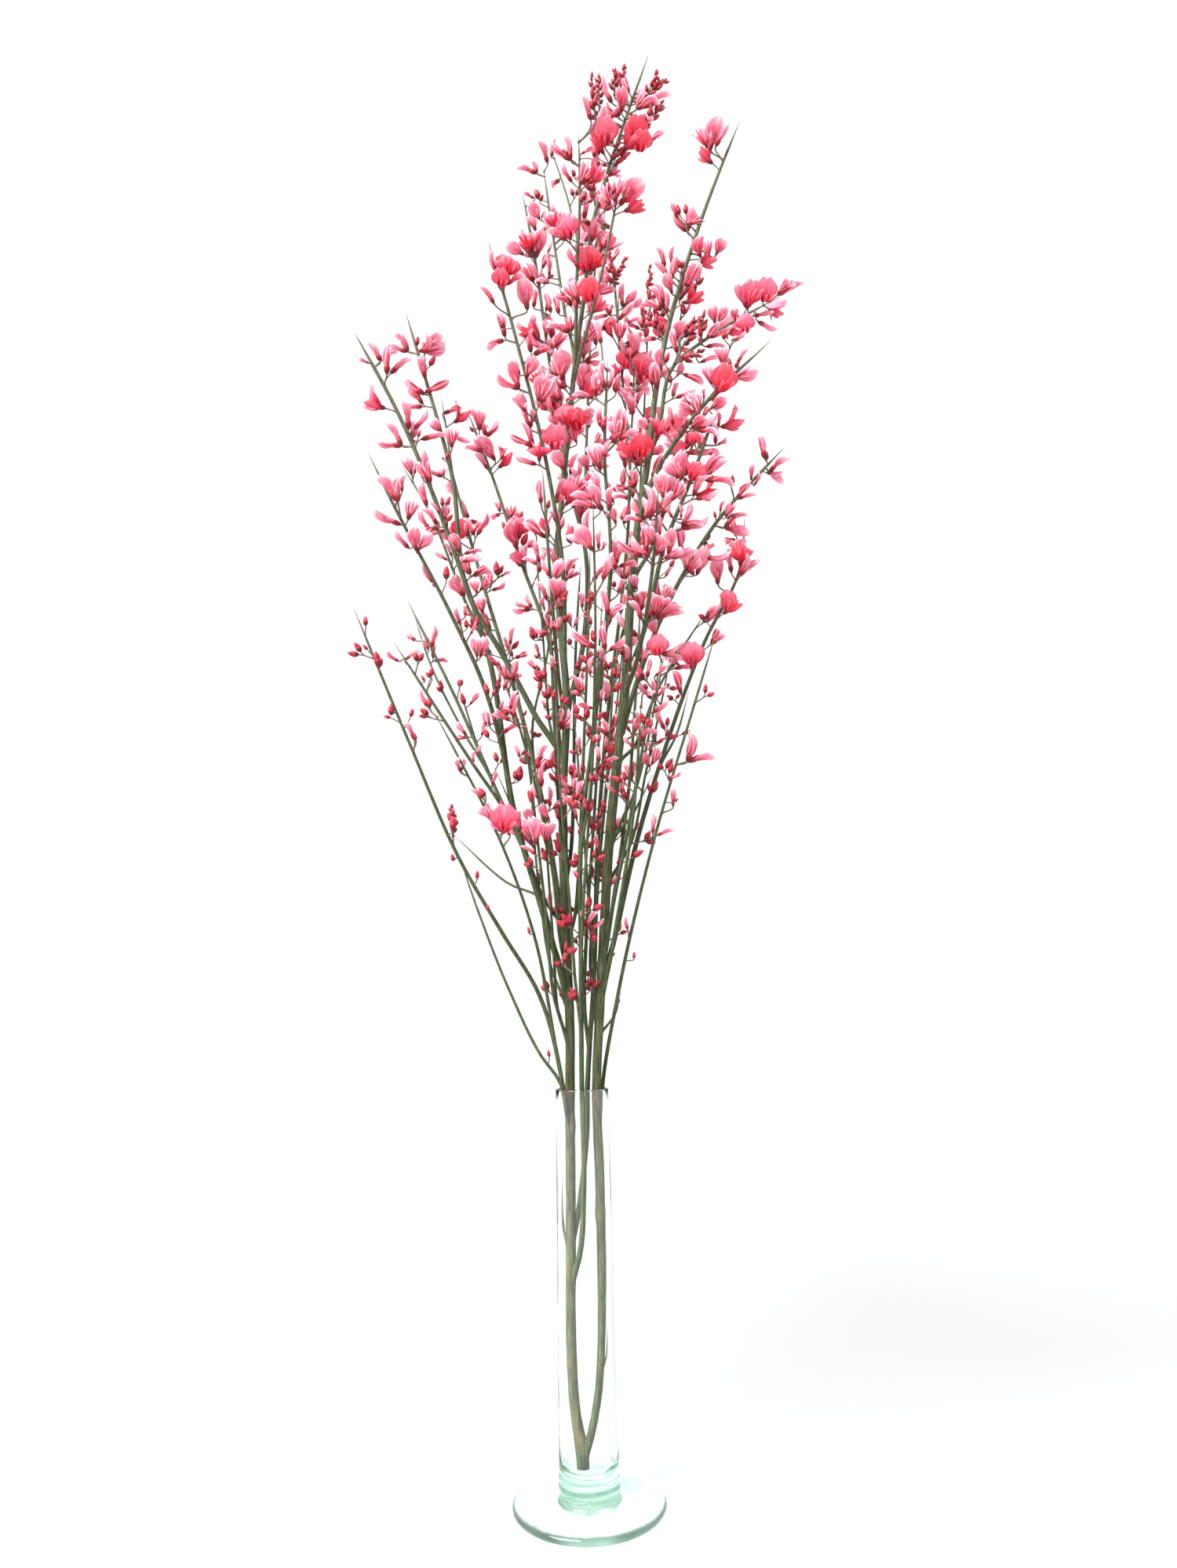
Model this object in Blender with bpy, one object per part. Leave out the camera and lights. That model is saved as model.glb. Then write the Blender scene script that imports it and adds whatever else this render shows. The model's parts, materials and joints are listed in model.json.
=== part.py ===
"""A cut branch of flowering broom, standing in its hand-made glass bud vase.

The vase stands on Z = 0 with its axis on Z. The camera side of the photograph is -Y.
The branch is one grown piece: a short butt that forks into two stems, with stiff rush-like
twigs. Each flower, pair of flowers or bud shoot is a piece of its own, seated on its twig.
"""

import math

import bmesh
import bpy
from mathutils import Matrix, Vector

MM = 0.001

# Vase, in metres
VASE_HEIGHT = 0.200
RIM_RADIUS = 0.01425
RIM_WALL = 0.0012
BASE_RADIUS = 0.0152
BASE_WALL = 0.0015
FLOOR_HEIGHT = 0.0165
FLOOR_ROUNDING = 0.004
COLLAR_RADIUS = 0.0160
COLLAR_HEIGHT = 0.0062
FOOT_RADIUS = 0.0385
FOOT_EDGE = 0.0038
FOOT_NECK_RADIUS = 0.019
FOOT_NECK_HEIGHT = 0.0046
VASE_STEPS = 32

# Branch, in metres
TUBE_SIDES = 6
STEM_SIDES = 8
STEP = 0.036
TIP_TAPER = 0.016
TIP_RADIUS = 0.0003
SEAT_GAP = 0.0003
# A twig's radius at its foot and at its tip, as shares of its parent's and of its own
FOOT_SHARE = 0.85
TIP_SHARE = 0.55

# Flowers, in metres
FLOWER_SIDES = 5
PEDICEL = 0.006
PEDICEL_RADIUS = 0.0005
# How much of the stalk's radius lies between its middle and the twig's surface, since it leans
PEDICEL_LEAN = 0.6
CALYX = 0.005
CALYX_RADIUS = 0.0018
PETALS = 0.014
PETALS_RADIUS = 0.0027
BANNER_RADIUS = 0.0095
BANNER_HALF_THICKNESS = 0.0005
BANNER_SIDES = 9
SHOOT = 0.018
BUD = 0.006
BUD_RADIUS = 0.0015
PAIR_FAN = math.radians(27)
BUD_FAN = math.radians(50)
# Where the side buds leave a shoot: the side, and the share of the shoot's length
BUD_SEATS = ((-1, 0.45), (1, 0.65))
# A pointed end's radius, as a share of the widest one
POINT_SHARE = 0.2

# Directions in which parts leave a twig, as (outward, along the twig)
STALK_WAY = (0.75, 0.65)
OPEN_WAY = (0.88, 0.47)
PAIR_WAY = (0.5, 0.87)
SHOOT_WAY = (0.6, 0.8)

# The two stems: centre line and radius (x, y, z, r) in millimetres, from the cut end up.
LEFT_STEM = [
    (-2, 0, 16.8, 3.0),
    (-2, 0, 30, 3.1),
    (-6, -1, 52, 2.6),
    (-8, -1, 84, 2.6),
    (-7.5, 0, 117, 2.6),
    (-7, 1, 156, 2.6),
    (-6.5, 1, 200, 2.6),
    (-6, 1, 237, 2.8),
    (-7, 2, 267, 2.8),
    (-8, 5, 315, 3.1),
    (-8, 10, 367, 2.9),
    (-5, 14, 426, 2.5),
    (-8, 16, 473, 2.2),
    (-10, 16, 515, 2.0),
    (-6, 14, 557, 1.8),
    (0, 10, 610, 1.7),
    (5, 6, 655, 1.7),
    (12, 2, 702, 1.5),
    (17, 0, 745, 1.4),
    (29, 0, 791, 1.3),
    (44, 0, 839, 1.1),
    (60, 0, 888, 0.8),
]
RIGHT_STEM = [
    (-2, 0, 27, 2.2),
    (3, -1, 47, 2.3),
    (7, -1, 72, 2.3),
    (8.5, -1, 102, 2.4),
    (8.5, -1, 148, 2.5),
    (8, -1, 200, 2.5),
    (11, -4, 245, 2.6),
    (14, -6, 283, 2.8),
    (18, -10, 331, 2.9),
    (24, -12, 380, 3.0),
    (30, -14, 426, 2.9),
    (34, -16, 474, 2.7),
    (40, -18, 523, 2.4),
    (48, -18, 569, 2.1),
    (54, -16, 613, 1.9),
    (62, -14, 653, 1.8),
    (75, -12, 700, 1.7),
    (91, -10, 749, 1.6),
    (104, -8, 785, 1.4),
    (119, -6, 824, 1.0),
]

# Twigs: name, the twig it grows on, fork height, base radius, and the points that its centre
# line passes on the way to its tip, all in millimetres.
TWIGS = [
    ("front_stem", "left_stem", 95, 1.8, [(-2, -5, 122), (0, -6, 148), (0, -6, 201),
     (1, -14, 270), (2, -24, 324), (15, -46, 420), (22, -60, 485), (20, -70, 538), (23, -76, 592)]),
    ("back_stem", "left_stem", 113, 1.7, [(-2, 2, 143), (2, 3, 175), (3, 3, 200),
     (8, 12, 260), (12, 27, 340), (21, 42, 429), (33, 54, 515), (41, 64, 607), (38, 71, 685),
     (34, 80, 792)]),
    ("left_whisker", "left_stem", 140, 1.0, [(-9.5, 2.3, 192), (-11.5, 2.9, 202), (-22, 4, 217),
     (-39, 8, 251), (-57, 14, 295), (-70, 18, 331)]),
    ("left_low", "left_stem", 165, 1.2, [(-10, -4.6, 200), (-22, -12, 250), (-41, -22, 283),
     (-61, -30, 318), (-90, -40, 386), (-121, -46, 462)]),
    ("left_slant", "left_stem", 280, 1.2, [(-21, 0, 306), (-38, -6, 348), (-60, -10, 382),
     (-104, -18, 452)]),
    ("left_cross", "left_slant", 300, 0.8, [(-42, 16, 315), (-75, 24, 346)]),
    ("left_pair_long", "left_stem", 228, 1.4, [(-13, 8, 270), (-26, 20, 318), (-50, 32, 375),
     (-76, 42, 436), (-110, 52, 508)]),
    ("left_pair_short", "left_pair_long", 378, 1.0, [(-72, 44, 416), (-95, 54, 465),
     (-107, 60, 501)]),
    ("left_spur", "left_pair_long", 396, 0.8, [(-69, 50, 426), (-78, 60, 455)]),
    ("left_front", "left_low", 216, 1.1, [(-24, -24, 282), (-39, -40, 327), (-61, -56, 373),
     (-74, -62, 398)]),
    ("left_high", "left_stem", 237, 1.8, [(-18, -4, 288), (-35, -10, 350), (-49, -16, 442),
     (-69, -20, 507), (-107, -24, 605), (-131, -26, 652)]),
    ("left_stub", "left_high", 345, 0.8, [(-45, -20, 375)]),
    ("left_mid", "left_high", 368, 1.3, [(-51, -28, 422), (-68, -38, 460), (-101, -52, 525),
     (-113, -56, 551)]),
    ("left_mid_spur", "left_high", 440, 1.0, [(-66, -4, 486), (-90, 10, 551), (-109, 16, 587)]),
    ("left_top", "left_stem", 379, 1.7, [(-25, 14, 417), (-44, 18, 456), (-63, 20, 491),
     (-78, 26, 585), (-98, 30, 663), (-111, 32, 710)]),
    ("left_top_spur", "left_top", 552, 0.9, [(-82, 40, 613), (-89, 50, 658)]),
    ("left_back", "left_stem", 265, 1.6, [(-12, 12, 307), (-25, 34, 385), (-39, 48, 443),
     (-63, 64, 530), (-92, 78, 642)]),
    ("curved_back", "left_back", 385, 0.9, [(-28, 50, 417), (-18, 64, 475), (-13, 76, 561)]),
    ("inner_left_back", "left_stem", 367, 1.4, [(-10, 18, 398), (-16, 31, 470), (-33, 40, 526),
     (-55, 48, 600), (-71, 52, 648)]),
    ("inner_left_high", "left_stem", 436, 1.4, [(-6, -2, 510), (-14, -18, 565),
     (-31, -34, 640), (-47, -42, 702)]),
    ("inner_left_front", "left_stem", 396, 1.2, [(-9, -14, 432), (-12, -40, 483),
     (-15, -54, 542)]),
    ("inner_left_stub", "inner_left_front", 469, 0.7, [(-8, -48, 496)]),
    ("top_left_back", "left_stem", 406, 1.5, [(6, 22, 465), (9, 33, 525), (-4, 39, 595),
     (-15, 48, 695), (-25, 56, 785), (-32, 60, 832)]),
    ("top_left", "left_stem", 642, 1.1, [(-2, 19, 700), (-9, 34, 770), (-16, 46, 843)]),
    ("top_front", "left_stem", 640, 1.2, [(7, -14, 700), (10, -26, 754), (10, -32, 790)]),
    ("top_left_spur", "top_front", 710, 0.9, [(4, -6, 754), (-9, 10, 822)]),
    ("top_back", "top_left_back", 533, 1.2, [(10, 50, 599), (15, 68, 704), (26, 86, 855)]),
    ("top_right_back", "left_stem", 685, 1.0, [(17, 15, 735), (29, 28, 791)]),
    ("top_right_front", "left_stem", 630, 1.1, [(14, -14, 665), (23, -26, 693), (36, -42, 747)]),
    ("back_spur", "back_stem", 715, 0.9, [(37, 84, 748), (39, 92, 781)]),
    ("front_short", "front_stem", 379, 1.1, [(12, -56, 421), (13, -80, 508)]),
    ("back_mid", "back_stem", 545, 1.0, [(40, 44, 600), (46, 30, 687)]),
    ("back_right", "back_stem", 440, 1.2, [(39, 64, 514), (52, 87, 645), (62, 100, 770)]),
    ("right_stem_spur", "right_stem", 628, 0.8, [(61, -4, 655), (59, 8, 685)]),
    ("right_top", "right_stem", 559, 1.3, [(54, -22, 582), (65, -30, 622), (86, -36, 636),
     (129, -44, 657)]),
    ("right_top_spur", "right_top", 622, 0.9, [(70, -12, 655), (76, 0, 693)]),
    ("right_high", "right_stem", 512, 1.5, [(48, -31, 542), (77, -52, 578), (116, -66, 610)]),
    ("right_high_spur", "right_high", 589, 0.9, [(92, -52, 606), (100, -46, 631)]),
    ("right_upper", "right_stem", 417, 1.5, [(43, -28, 459), (53, -36, 498), (71, -44, 540),
     (88, -52, 584)]),
    ("right_upper_back", "right_stem", 479, 1.3, [(49, 4, 518), (67, 26, 573), (91, 44, 629)]),
    ("right_front_short", "right_stem", 412, 1.3, [(36, -36, 432), (45, -66, 479),
     (48, -80, 515)]),
    ("right_wide", "right_stem", 375, 1.6, [(39, 2, 436), (60, 10, 487), (90, 18, 539),
     (141, 28, 600)]),
    ("right_low", "right_stem", 241, 1.5, [(22, 4, 288), (36, 12, 341), (55, 20, 397),
     (82, 28, 465), (109, 34, 520), (114, 38, 555)]),
    ("right_low_spur", "right_low", 377, 0.9, [(63, 34, 408), (73, 46, 440)]),
    ("right_whisker", "right_stem", 155, 1.1, [(11, 3.4, 199), (21, -4, 250),
     (42, -22, 330), (67, -36, 406), (80, -42, 445)]),
    ("right_back", "right_stem", 371, 1.1, [(36, 14, 396), (52, 36, 437), (88, 58, 498)]),
    ("right_back_short", "right_stem", 316, 1.1, [(37, 30, 375), (60, 68, 472)]),
    ("right_stub", "right_stem", 324, 0.9, [(34, 14, 355), (47, 26, 381)]),
    ("right_front_low", "right_stem", 232, 1.2, [(19, -16, 278), (31, -34, 344),
     (37, -48, 406)]),
    ("low_right_spur", "right_stem", 224, 0.8, [(20, 6, 240), (23, 12, 251)]),
    ("dead_left", "left_stem", 112, 0.8, [(-11, 1, 128), (-11.5, 2, 157)]),
    ("dead_right", "right_stem", 58, 0.8, [(10, 0, 68), (11, 0, 84)]),
]

# Flowers: kind, the twig that carries it, height in millimetres, and bearing in degrees
# round the twig, where 0 is +X and 90 is +Y.
FLOWERS = [
    ("open_flower", "right_stem", 783, 180),
    ("flower_pair", "right_stem", 728, 180),
    ("open_flower", "right_stem", 706, 0),
    ("flower_pair", "right_stem", 690, 190),
    ("open_flower", "right_stem", 674, -20),
    ("bud_shoot", "right_stem", 652, 170),
    ("open_flower", "right_stem", 560, 190),
    ("flower_pair", "left_stem", 832, 170),
    ("flower_pair", "left_stem", 838, -20),
    ("bud_shoot", "left_stem", 818, 10),
    ("open_flower", "left_stem", 804, -30),
    ("open_flower", "left_stem", 797, 215),
    ("flower_pair", "left_stem", 812, 150),
    ("flower_pair", "left_stem", 770, 190),
    ("open_flower", "top_right_front", 724, 0),
    ("open_flower", "top_front", 752, -20),
    ("flower_pair", "top_front", 768, 190),
    ("flower_pair", "top_left", 832, 185),
    ("open_flower", "top_left_back", 768, -110),
    ("open_flower", "top_left", 765, -80),
    ("open_flower", "left_stem", 708, -55),
    ("open_flower", "left_stem", 680, -30),
    ("open_flower", "inner_left_high", 668, -60),
    ("open_flower", "top_left_back", 695, 200),
    ("open_flower", "top_left_back", 652, 220),
    ("open_flower", "left_stem", 598, -90),
    ("flower_pair", "inner_left_high", 606, 190),
    ("flower_pair", "inner_left_high", 572, 190),
    ("open_flower", "inner_left_back", 596, 0),
    ("flower_pair", "inner_left_back", 622, 10),
    ("open_flower", "inner_left_back", 538, -60),
    ("open_flower", "left_stem", 548, -60),
    ("open_flower", "left_stem", 622, -20),
    ("open_flower", "back_stem", 706, -20),
    ("open_flower", "back_mid", 652, -60),
    ("open_flower", "right_top", 640, 100),
    ("open_flower", "right_top", 646, -90),
    ("open_flower", "right_top", 652, 70),
    ("flower_pair", "right_top", 654, -60),
    ("open_flower", "right_high", 582, -60),
    ("open_flower", "right_high", 560, 110),
    ("open_flower", "right_upper", 566, 10),
    ("open_flower", "right_upper", 528, 20),
    ("flower_pair", "right_upper", 508, 0),
    ("flower_pair", "right_wide", 584, 60),
    ("flower_pair", "right_wide", 540, 20),
    ("open_flower", "right_low", 512, -100),
    ("open_flower", "right_low", 480, -60),
    ("open_flower", "right_low", 440, -100),
    ("flower_pair", "right_whisker", 372, 20),
    ("flower_pair", "left_high", 628, 20),
    ("open_flower", "left_high", 598, 200),
    ("flower_pair", "left_high", 575, 170),
    ("flower_pair", "left_top", 678, 180),
    ("flower_pair", "left_top", 650, -90),
    ("open_flower", "left_top_spur", 630, 0),
    ("open_flower", "left_front", 330, -60),
    ("bud_shoot", "left_low", 330, 60),
]


def material(name, colour, roughness, alpha=1.0):
    made = bpy.data.materials.new(name)
    made.use_nodes = True
    shader = made.node_tree.nodes["Principled BSDF"]
    shader.inputs["Base Color"].default_value = (*colour, 1.0)
    shader.inputs["Roughness"].default_value = roughness
    shader.inputs["Metallic"].default_value = 0.0
    shader.inputs["Alpha"].default_value = alpha
    return made


def new_object(name, mesh, finish):
    obj = bpy.data.objects.new(name, mesh)
    obj.data.materials.append(finish)
    bpy.context.scene.collection.objects.link(obj)
    return obj


def hide_as_helper(obj):
    obj.hide_render = True
    obj.display_type = "WIRE"


def arc(centre, radius, start, end, steps):
    """Points (r, z) on a circle arc, with angles in degrees."""
    points = []
    for i in range(steps + 1):
        angle = math.radians(start + (end - start) * i / steps)
        points.append((centre[0] + radius * math.cos(angle), centre[1] + radius * math.sin(angle)))
    return points


def vase_profile():
    """The turned outline (r, z): up the inside, over the rim, and down the outside to the foot."""
    inner_base = BASE_RADIUS - BASE_WALL
    inner_rim = RIM_RADIUS - RIM_WALL
    rim_centre = (RIM_RADIUS - RIM_WALL / 2, VASE_HEIGHT - RIM_WALL / 2)
    floor_centre = (inner_base - FLOOR_ROUNDING, FLOOR_HEIGHT + FLOOR_ROUNDING)
    edge_centre = (FOOT_RADIUS - FOOT_EDGE / 2, FOOT_EDGE / 2)
    profile = [(0.0, FLOOR_HEIGHT)]
    profile += arc(floor_centre, FLOOR_ROUNDING, -90, 0, 3)
    profile.append((inner_rim, VASE_HEIGHT / 2 + FLOOR_HEIGHT / 2))
    profile += arc(rim_centre, RIM_WALL / 2, 180, 0, 4)
    profile.append((BASE_RADIUS, FLOOR_HEIGHT * 2))
    profile.append((BASE_RADIUS, FLOOR_HEIGHT))
    profile.append((BASE_RADIUS, COLLAR_HEIGHT * 1.3))
    profile.append((COLLAR_RADIUS, COLLAR_HEIGHT))
    profile.append((FOOT_NECK_RADIUS, FOOT_NECK_HEIGHT))
    profile += arc(edge_centre, FOOT_EDGE / 2, 90, -90, 4)
    profile.append((0.0, 0.0))
    return profile


def make_vase():
    mesh = bpy.data.meshes.new("glass_vase")
    profile = vase_profile()
    edges = [(i, i + 1) for i in range(len(profile) - 1)]
    mesh.from_pydata([(r, 0.0, z) for r, z in profile], edges, [])
    vase = new_object("glass_vase", mesh, material("vase_glass", (0.75, 0.92, 0.84), 0.05, 0.35))
    screw = vase.modifiers.new("turned", "SCREW")
    screw.steps = VASE_STEPS
    screw.render_steps = VASE_STEPS
    screw.use_merge_vertices = True
    screw.merge_threshold = 0.00001
    screw.use_smooth_shade = True
    return vase


def smooth_path(points, lead, step):
    """Points about a step apart on a smooth curve through the given ones, leaving along lead."""
    gaps = [(b - a).length for a, b in zip(points, points[1:])]
    chords = [(b - a) / gap for a, b, gap in zip(points, points[1:], gaps)]
    slopes = [lead]
    for i in range(1, len(chords)):
        weight = gaps[i - 1] / (gaps[i - 1] + gaps[i])
        slopes.append(chords[i - 1].lerp(chords[i], weight))
    slopes.append(chords[-1])
    path = [points[0]]
    for i, gap in enumerate(gaps):
        count = max(1, round(gap / step))
        for k in range(1, count + 1):
            t = k / count
            path.append(
                (2 * t**3 - 3 * t**2 + 1) * points[i]
                + (t**3 - 2 * t**2 + t) * gap * slopes[i]
                + (3 * t**2 - 2 * t**3) * points[i + 1]
                + (t**3 - t**2) * gap * slopes[i + 1]
            )
    return path


def with_tip(path, radii):
    """The same line, ending in a short taper to a point."""
    end = path[-1]
    back = (end - path[-2]).normalized()
    shoulder = end - TIP_TAPER * back
    while (path[-2] - end).length < 1.5 * TIP_TAPER:
        path = path[:-2] + path[-1:]
        radii = radii[:-2] + radii[-1:]
    return path[:-1] + [shoulder, end], radii + [TIP_RADIUS]


def stem_line(rows):
    """Centre line and radii of a stem, from rows (x, y, z, r) in millimetres."""
    points = [Vector(row[:3]) * MM for row in rows]
    path = smooth_path(points, (points[1] - points[0]).normalized(), STEP)
    radii = []
    for point in path:
        row = next((i for i in range(1, len(rows)) if point.z <= rows[i][2] * MM), len(rows) - 1)
        low, high = rows[row - 1], rows[row]
        share = (point.z / MM - low[2]) / (high[2] - low[2])
        radii.append((low[3] + (high[3] - low[3]) * min(max(share, 0.0), 1.0)) * MM)
    return with_tip(path, radii)


def at_height(line, height):
    """Centre, radius and direction of a line where it passes a height."""
    path, radii = line
    for i in range(1, len(path)):
        if path[i].z >= height:
            break
    share = (height - path[i - 1].z) / (path[i].z - path[i - 1].z)
    centre = path[i - 1].lerp(path[i], share)
    radius = radii[i - 1] + (radii[i] - radii[i - 1]) * share
    return centre, radius, (path[i] - path[i - 1]).normalized()


def twig_line(parent_line, fork_height, base_radius, points):
    """A twig's centre line and radii. It starts on its parent's centre line."""
    base, parent_radius, direction = at_height(parent_line, fork_height)
    path = smooth_path([base] + points, direction, STEP)
    largest = min(base_radius, FOOT_SHARE * parent_radius)
    smallest = TIP_SHARE * largest
    lengths = [0.0]
    for a, b in zip(path, path[1:]):
        lengths.append(lengths[-1] + (b - a).length)
    radii = [largest + (smallest - largest) * length / lengths[-1] for length in lengths]
    return with_tip(path, radii)


def all_lines():
    lines = {"left_stem": stem_line(LEFT_STEM), "right_stem": stem_line(RIGHT_STEM)}
    for name, parent, height, radius, points in TWIGS:
        route = [Vector(point) * MM for point in points]
        lines[name] = twig_line(lines[parent], height * MM, radius * MM, route)
    return lines


def tube_mesh(name, path, radii, sides):
    """A closed tube round a line, with flat ends."""
    form = bmesh.new()
    side = Vector((1.0, 0.0, 0.0))
    rings = []
    for i, centre in enumerate(path):
        ahead = (path[min(i + 1, len(path) - 1)] - path[max(i - 1, 0)]).normalized()
        side = (side - side.dot(ahead) * ahead).normalized()
        across = ahead.cross(side)
        ring = []
        for k in range(sides):
            angle = 2 * math.pi * k / sides
            ring.append(
                form.verts.new(
                    centre + radii[i] * (math.cos(angle) * side + math.sin(angle) * across)
                )
            )
        rings.append(ring)
    for lower, upper in zip(rings, rings[1:]):
        for k in range(sides):
            m = (k + 1) % sides
            form.faces.new((lower[k], lower[m], upper[m], upper[k]))
    form.faces.new(rings[0][::-1])
    form.faces.new(rings[-1])
    bmesh.ops.triangulate(form, faces=form.faces)
    mesh = bpy.data.meshes.new(name)
    form.to_mesh(mesh)
    form.free()
    return mesh


def make_branch(lines):
    """Both stems and every twig, grown together into one closed body."""
    bark = material("branch_bark", (0.12, 0.15, 0.06), 0.7)
    branch = new_object("branch", tube_mesh("branch", *lines["left_stem"], STEM_SIDES), bark)
    grown = bpy.data.collections.new("grown_on_branch")
    bpy.context.scene.collection.children.link(grown)
    for name, (path, radii) in lines.items():
        if name == "left_stem":
            continue
        sides = STEM_SIDES if name == "right_stem" else TUBE_SIDES
        twig = bpy.data.objects.new(name + "_form", tube_mesh(name, path, radii, sides))
        grown.objects.link(twig)
        hide_as_helper(twig)
    join = branch.modifiers.new("twigs", "BOOLEAN")
    join.operation = "UNION"
    join.solver = "EXACT"
    join.operand_type = "COLLECTION"
    join.collection = grown
    return branch


def joined(base, others):
    """Unions the helper objects onto the base object."""
    for other in others:
        hide_as_helper(other)
        join = base.modifiers.new(other.name, "BOOLEAN")
        join.operation = "UNION"
        join.solver = "EXACT"
        join.object = other
    return base


def flower_frame(lines, twig, height, bearing):
    """Where a flower is seated: its foot, the outward direction and the twig's direction."""
    centre, radius, ahead = at_height(lines[twig], height * MM)
    angle = math.radians(bearing)
    out = Vector((math.cos(angle), math.sin(angle), 0.0))
    out = (out - out.dot(ahead) * ahead).normalized()
    return centre + (radius + SEAT_GAP + PEDICEL_LEAN * PEDICEL_RADIUS) * out, out, ahead


def leaning(way, out, ahead):
    return (way[0] * out + way[1] * ahead).normalized()


def closed_flower_tube(name, foot, rise, axis, with_pedicel):
    """Pedicel, calyx and folded petals as one turned tube."""
    calyx_foot = foot + PEDICEL * rise
    calyx_end = calyx_foot + CALYX * axis
    path = [
        calyx_foot.lerp(calyx_end, 0.3),
        calyx_end,
        calyx_end + 0.45 * PETALS * axis,
        calyx_end + PETALS * axis,
    ]
    radii = [CALYX_RADIUS, CALYX_RADIUS, PETALS_RADIUS, POINT_SHARE * PETALS_RADIUS]
    if with_pedicel:
        path = [foot, calyx_foot] + path
        radii = [PEDICEL_RADIUS, PEDICEL_RADIUS] + radii
    return tube_mesh(name, path, radii, FLOWER_SIDES)


def make_open_flower(name, foot, out, ahead, finish):
    """A closed flower's tube with the round standing petal added, as a plate."""
    rise = leaning(STALK_WAY, out, ahead)
    axis = leaning(OPEN_WAY, out, ahead)
    lift = Vector((0.0, 0.0, 1.0)) - axis.z * axis
    lift.normalize()
    flower = new_object(name, closed_flower_tube(name, foot, rise, axis, True), finish)
    centre = foot + PEDICEL * rise + (CALYX + 0.1 * PETALS) * axis + 0.75 * BANNER_RADIUS * lift
    faces = [centre - BANNER_HALF_THICKNESS * axis, centre + BANNER_HALF_THICKNESS * axis]
    plate = tube_mesh(name + "_banner", faces, [0.85 * BANNER_RADIUS, BANNER_RADIUS], BANNER_SIDES)
    return joined(flower, [new_object(name + "_banner", plate, finish)])


def make_flower_pair(name, foot, out, ahead, finish):
    rise = leaning(STALK_WAY, out, ahead)
    middle = leaning(PAIR_WAY, out, ahead)
    hinge = out.cross(ahead).normalized()
    spread = [Matrix.Rotation(sign * PAIR_FAN, 3, hinge) @ middle for sign in (-1, 1)]
    flower = new_object(name, closed_flower_tube(name, foot, rise, spread[0], True), finish)
    second = closed_flower_tube(name + "_second", foot, rise, spread[1], False)
    return joined(flower, [new_object(name + "_second", second, finish)])


def make_bud_shoot(name, foot, out, ahead, finish):
    """A short side shoot with a bud at its end and one on each side."""
    rise = leaning(SHOOT_WAY, out, ahead)
    hinge = out.cross(ahead).normalized()
    path = [foot, foot + 0.3 * SHOOT * rise, foot + 0.75 * SHOOT * rise, foot + SHOOT * rise]
    path += [path[-1] + 0.5 * BUD * rise, path[-1] + BUD * rise]
    radii = [PEDICEL_RADIUS] * 3 + [0.6 * BUD_RADIUS, BUD_RADIUS, POINT_SHARE * BUD_RADIUS]
    shoot = new_object(name, tube_mesh(name, path, radii, FLOWER_SIDES), finish)
    buds = []
    for sign, share in BUD_SEATS:
        side = Matrix.Rotation(sign * BUD_FAN, 3, hinge) @ rise
        start = foot + share * SHOOT * rise
        route = [start, start + 0.3 * BUD * side, start + 0.8 * BUD * side, start + 1.4 * BUD * side]
        widths = [0.8 * PEDICEL_RADIUS, 0.7 * BUD_RADIUS, BUD_RADIUS, POINT_SHARE * BUD_RADIUS]
        bud_name = f"{name}_bud_{share}"
        buds.append(new_object(bud_name, tube_mesh(bud_name, route, widths, 4), finish))
    return joined(shoot, buds)


def make_flowers(lines):
    makers = {
        "open_flower": (make_open_flower, material("open_petals", (0.90, 0.16, 0.20), 0.6)),
        "flower_pair": (make_flower_pair, material("closed_petals", (0.88, 0.25, 0.33), 0.6)),
        "bud_shoot": (make_bud_shoot, material("bud_petals", (0.65, 0.05, 0.08), 0.6)),
    }
    count = dict.fromkeys(makers, 0)
    for kind, twig, height, bearing in FLOWERS:
        count[kind] += 1
        make, finish = makers[kind]
        make(f"{kind}_{count[kind]:02d}", *flower_frame(lines, twig, height, bearing), finish)


def main():
    for obj in list(bpy.data.objects):
        bpy.data.objects.remove(obj, do_unlink=True)
    lines = all_lines()
    make_vase()
    make_branch(lines)
    make_flowers(lines)


main()
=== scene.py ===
import json
import math
import random

import bmesh
import bpy
import numpy as np
from mathutils import Matrix, Vector, noise
from mathutils.kdtree import KDTree

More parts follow.
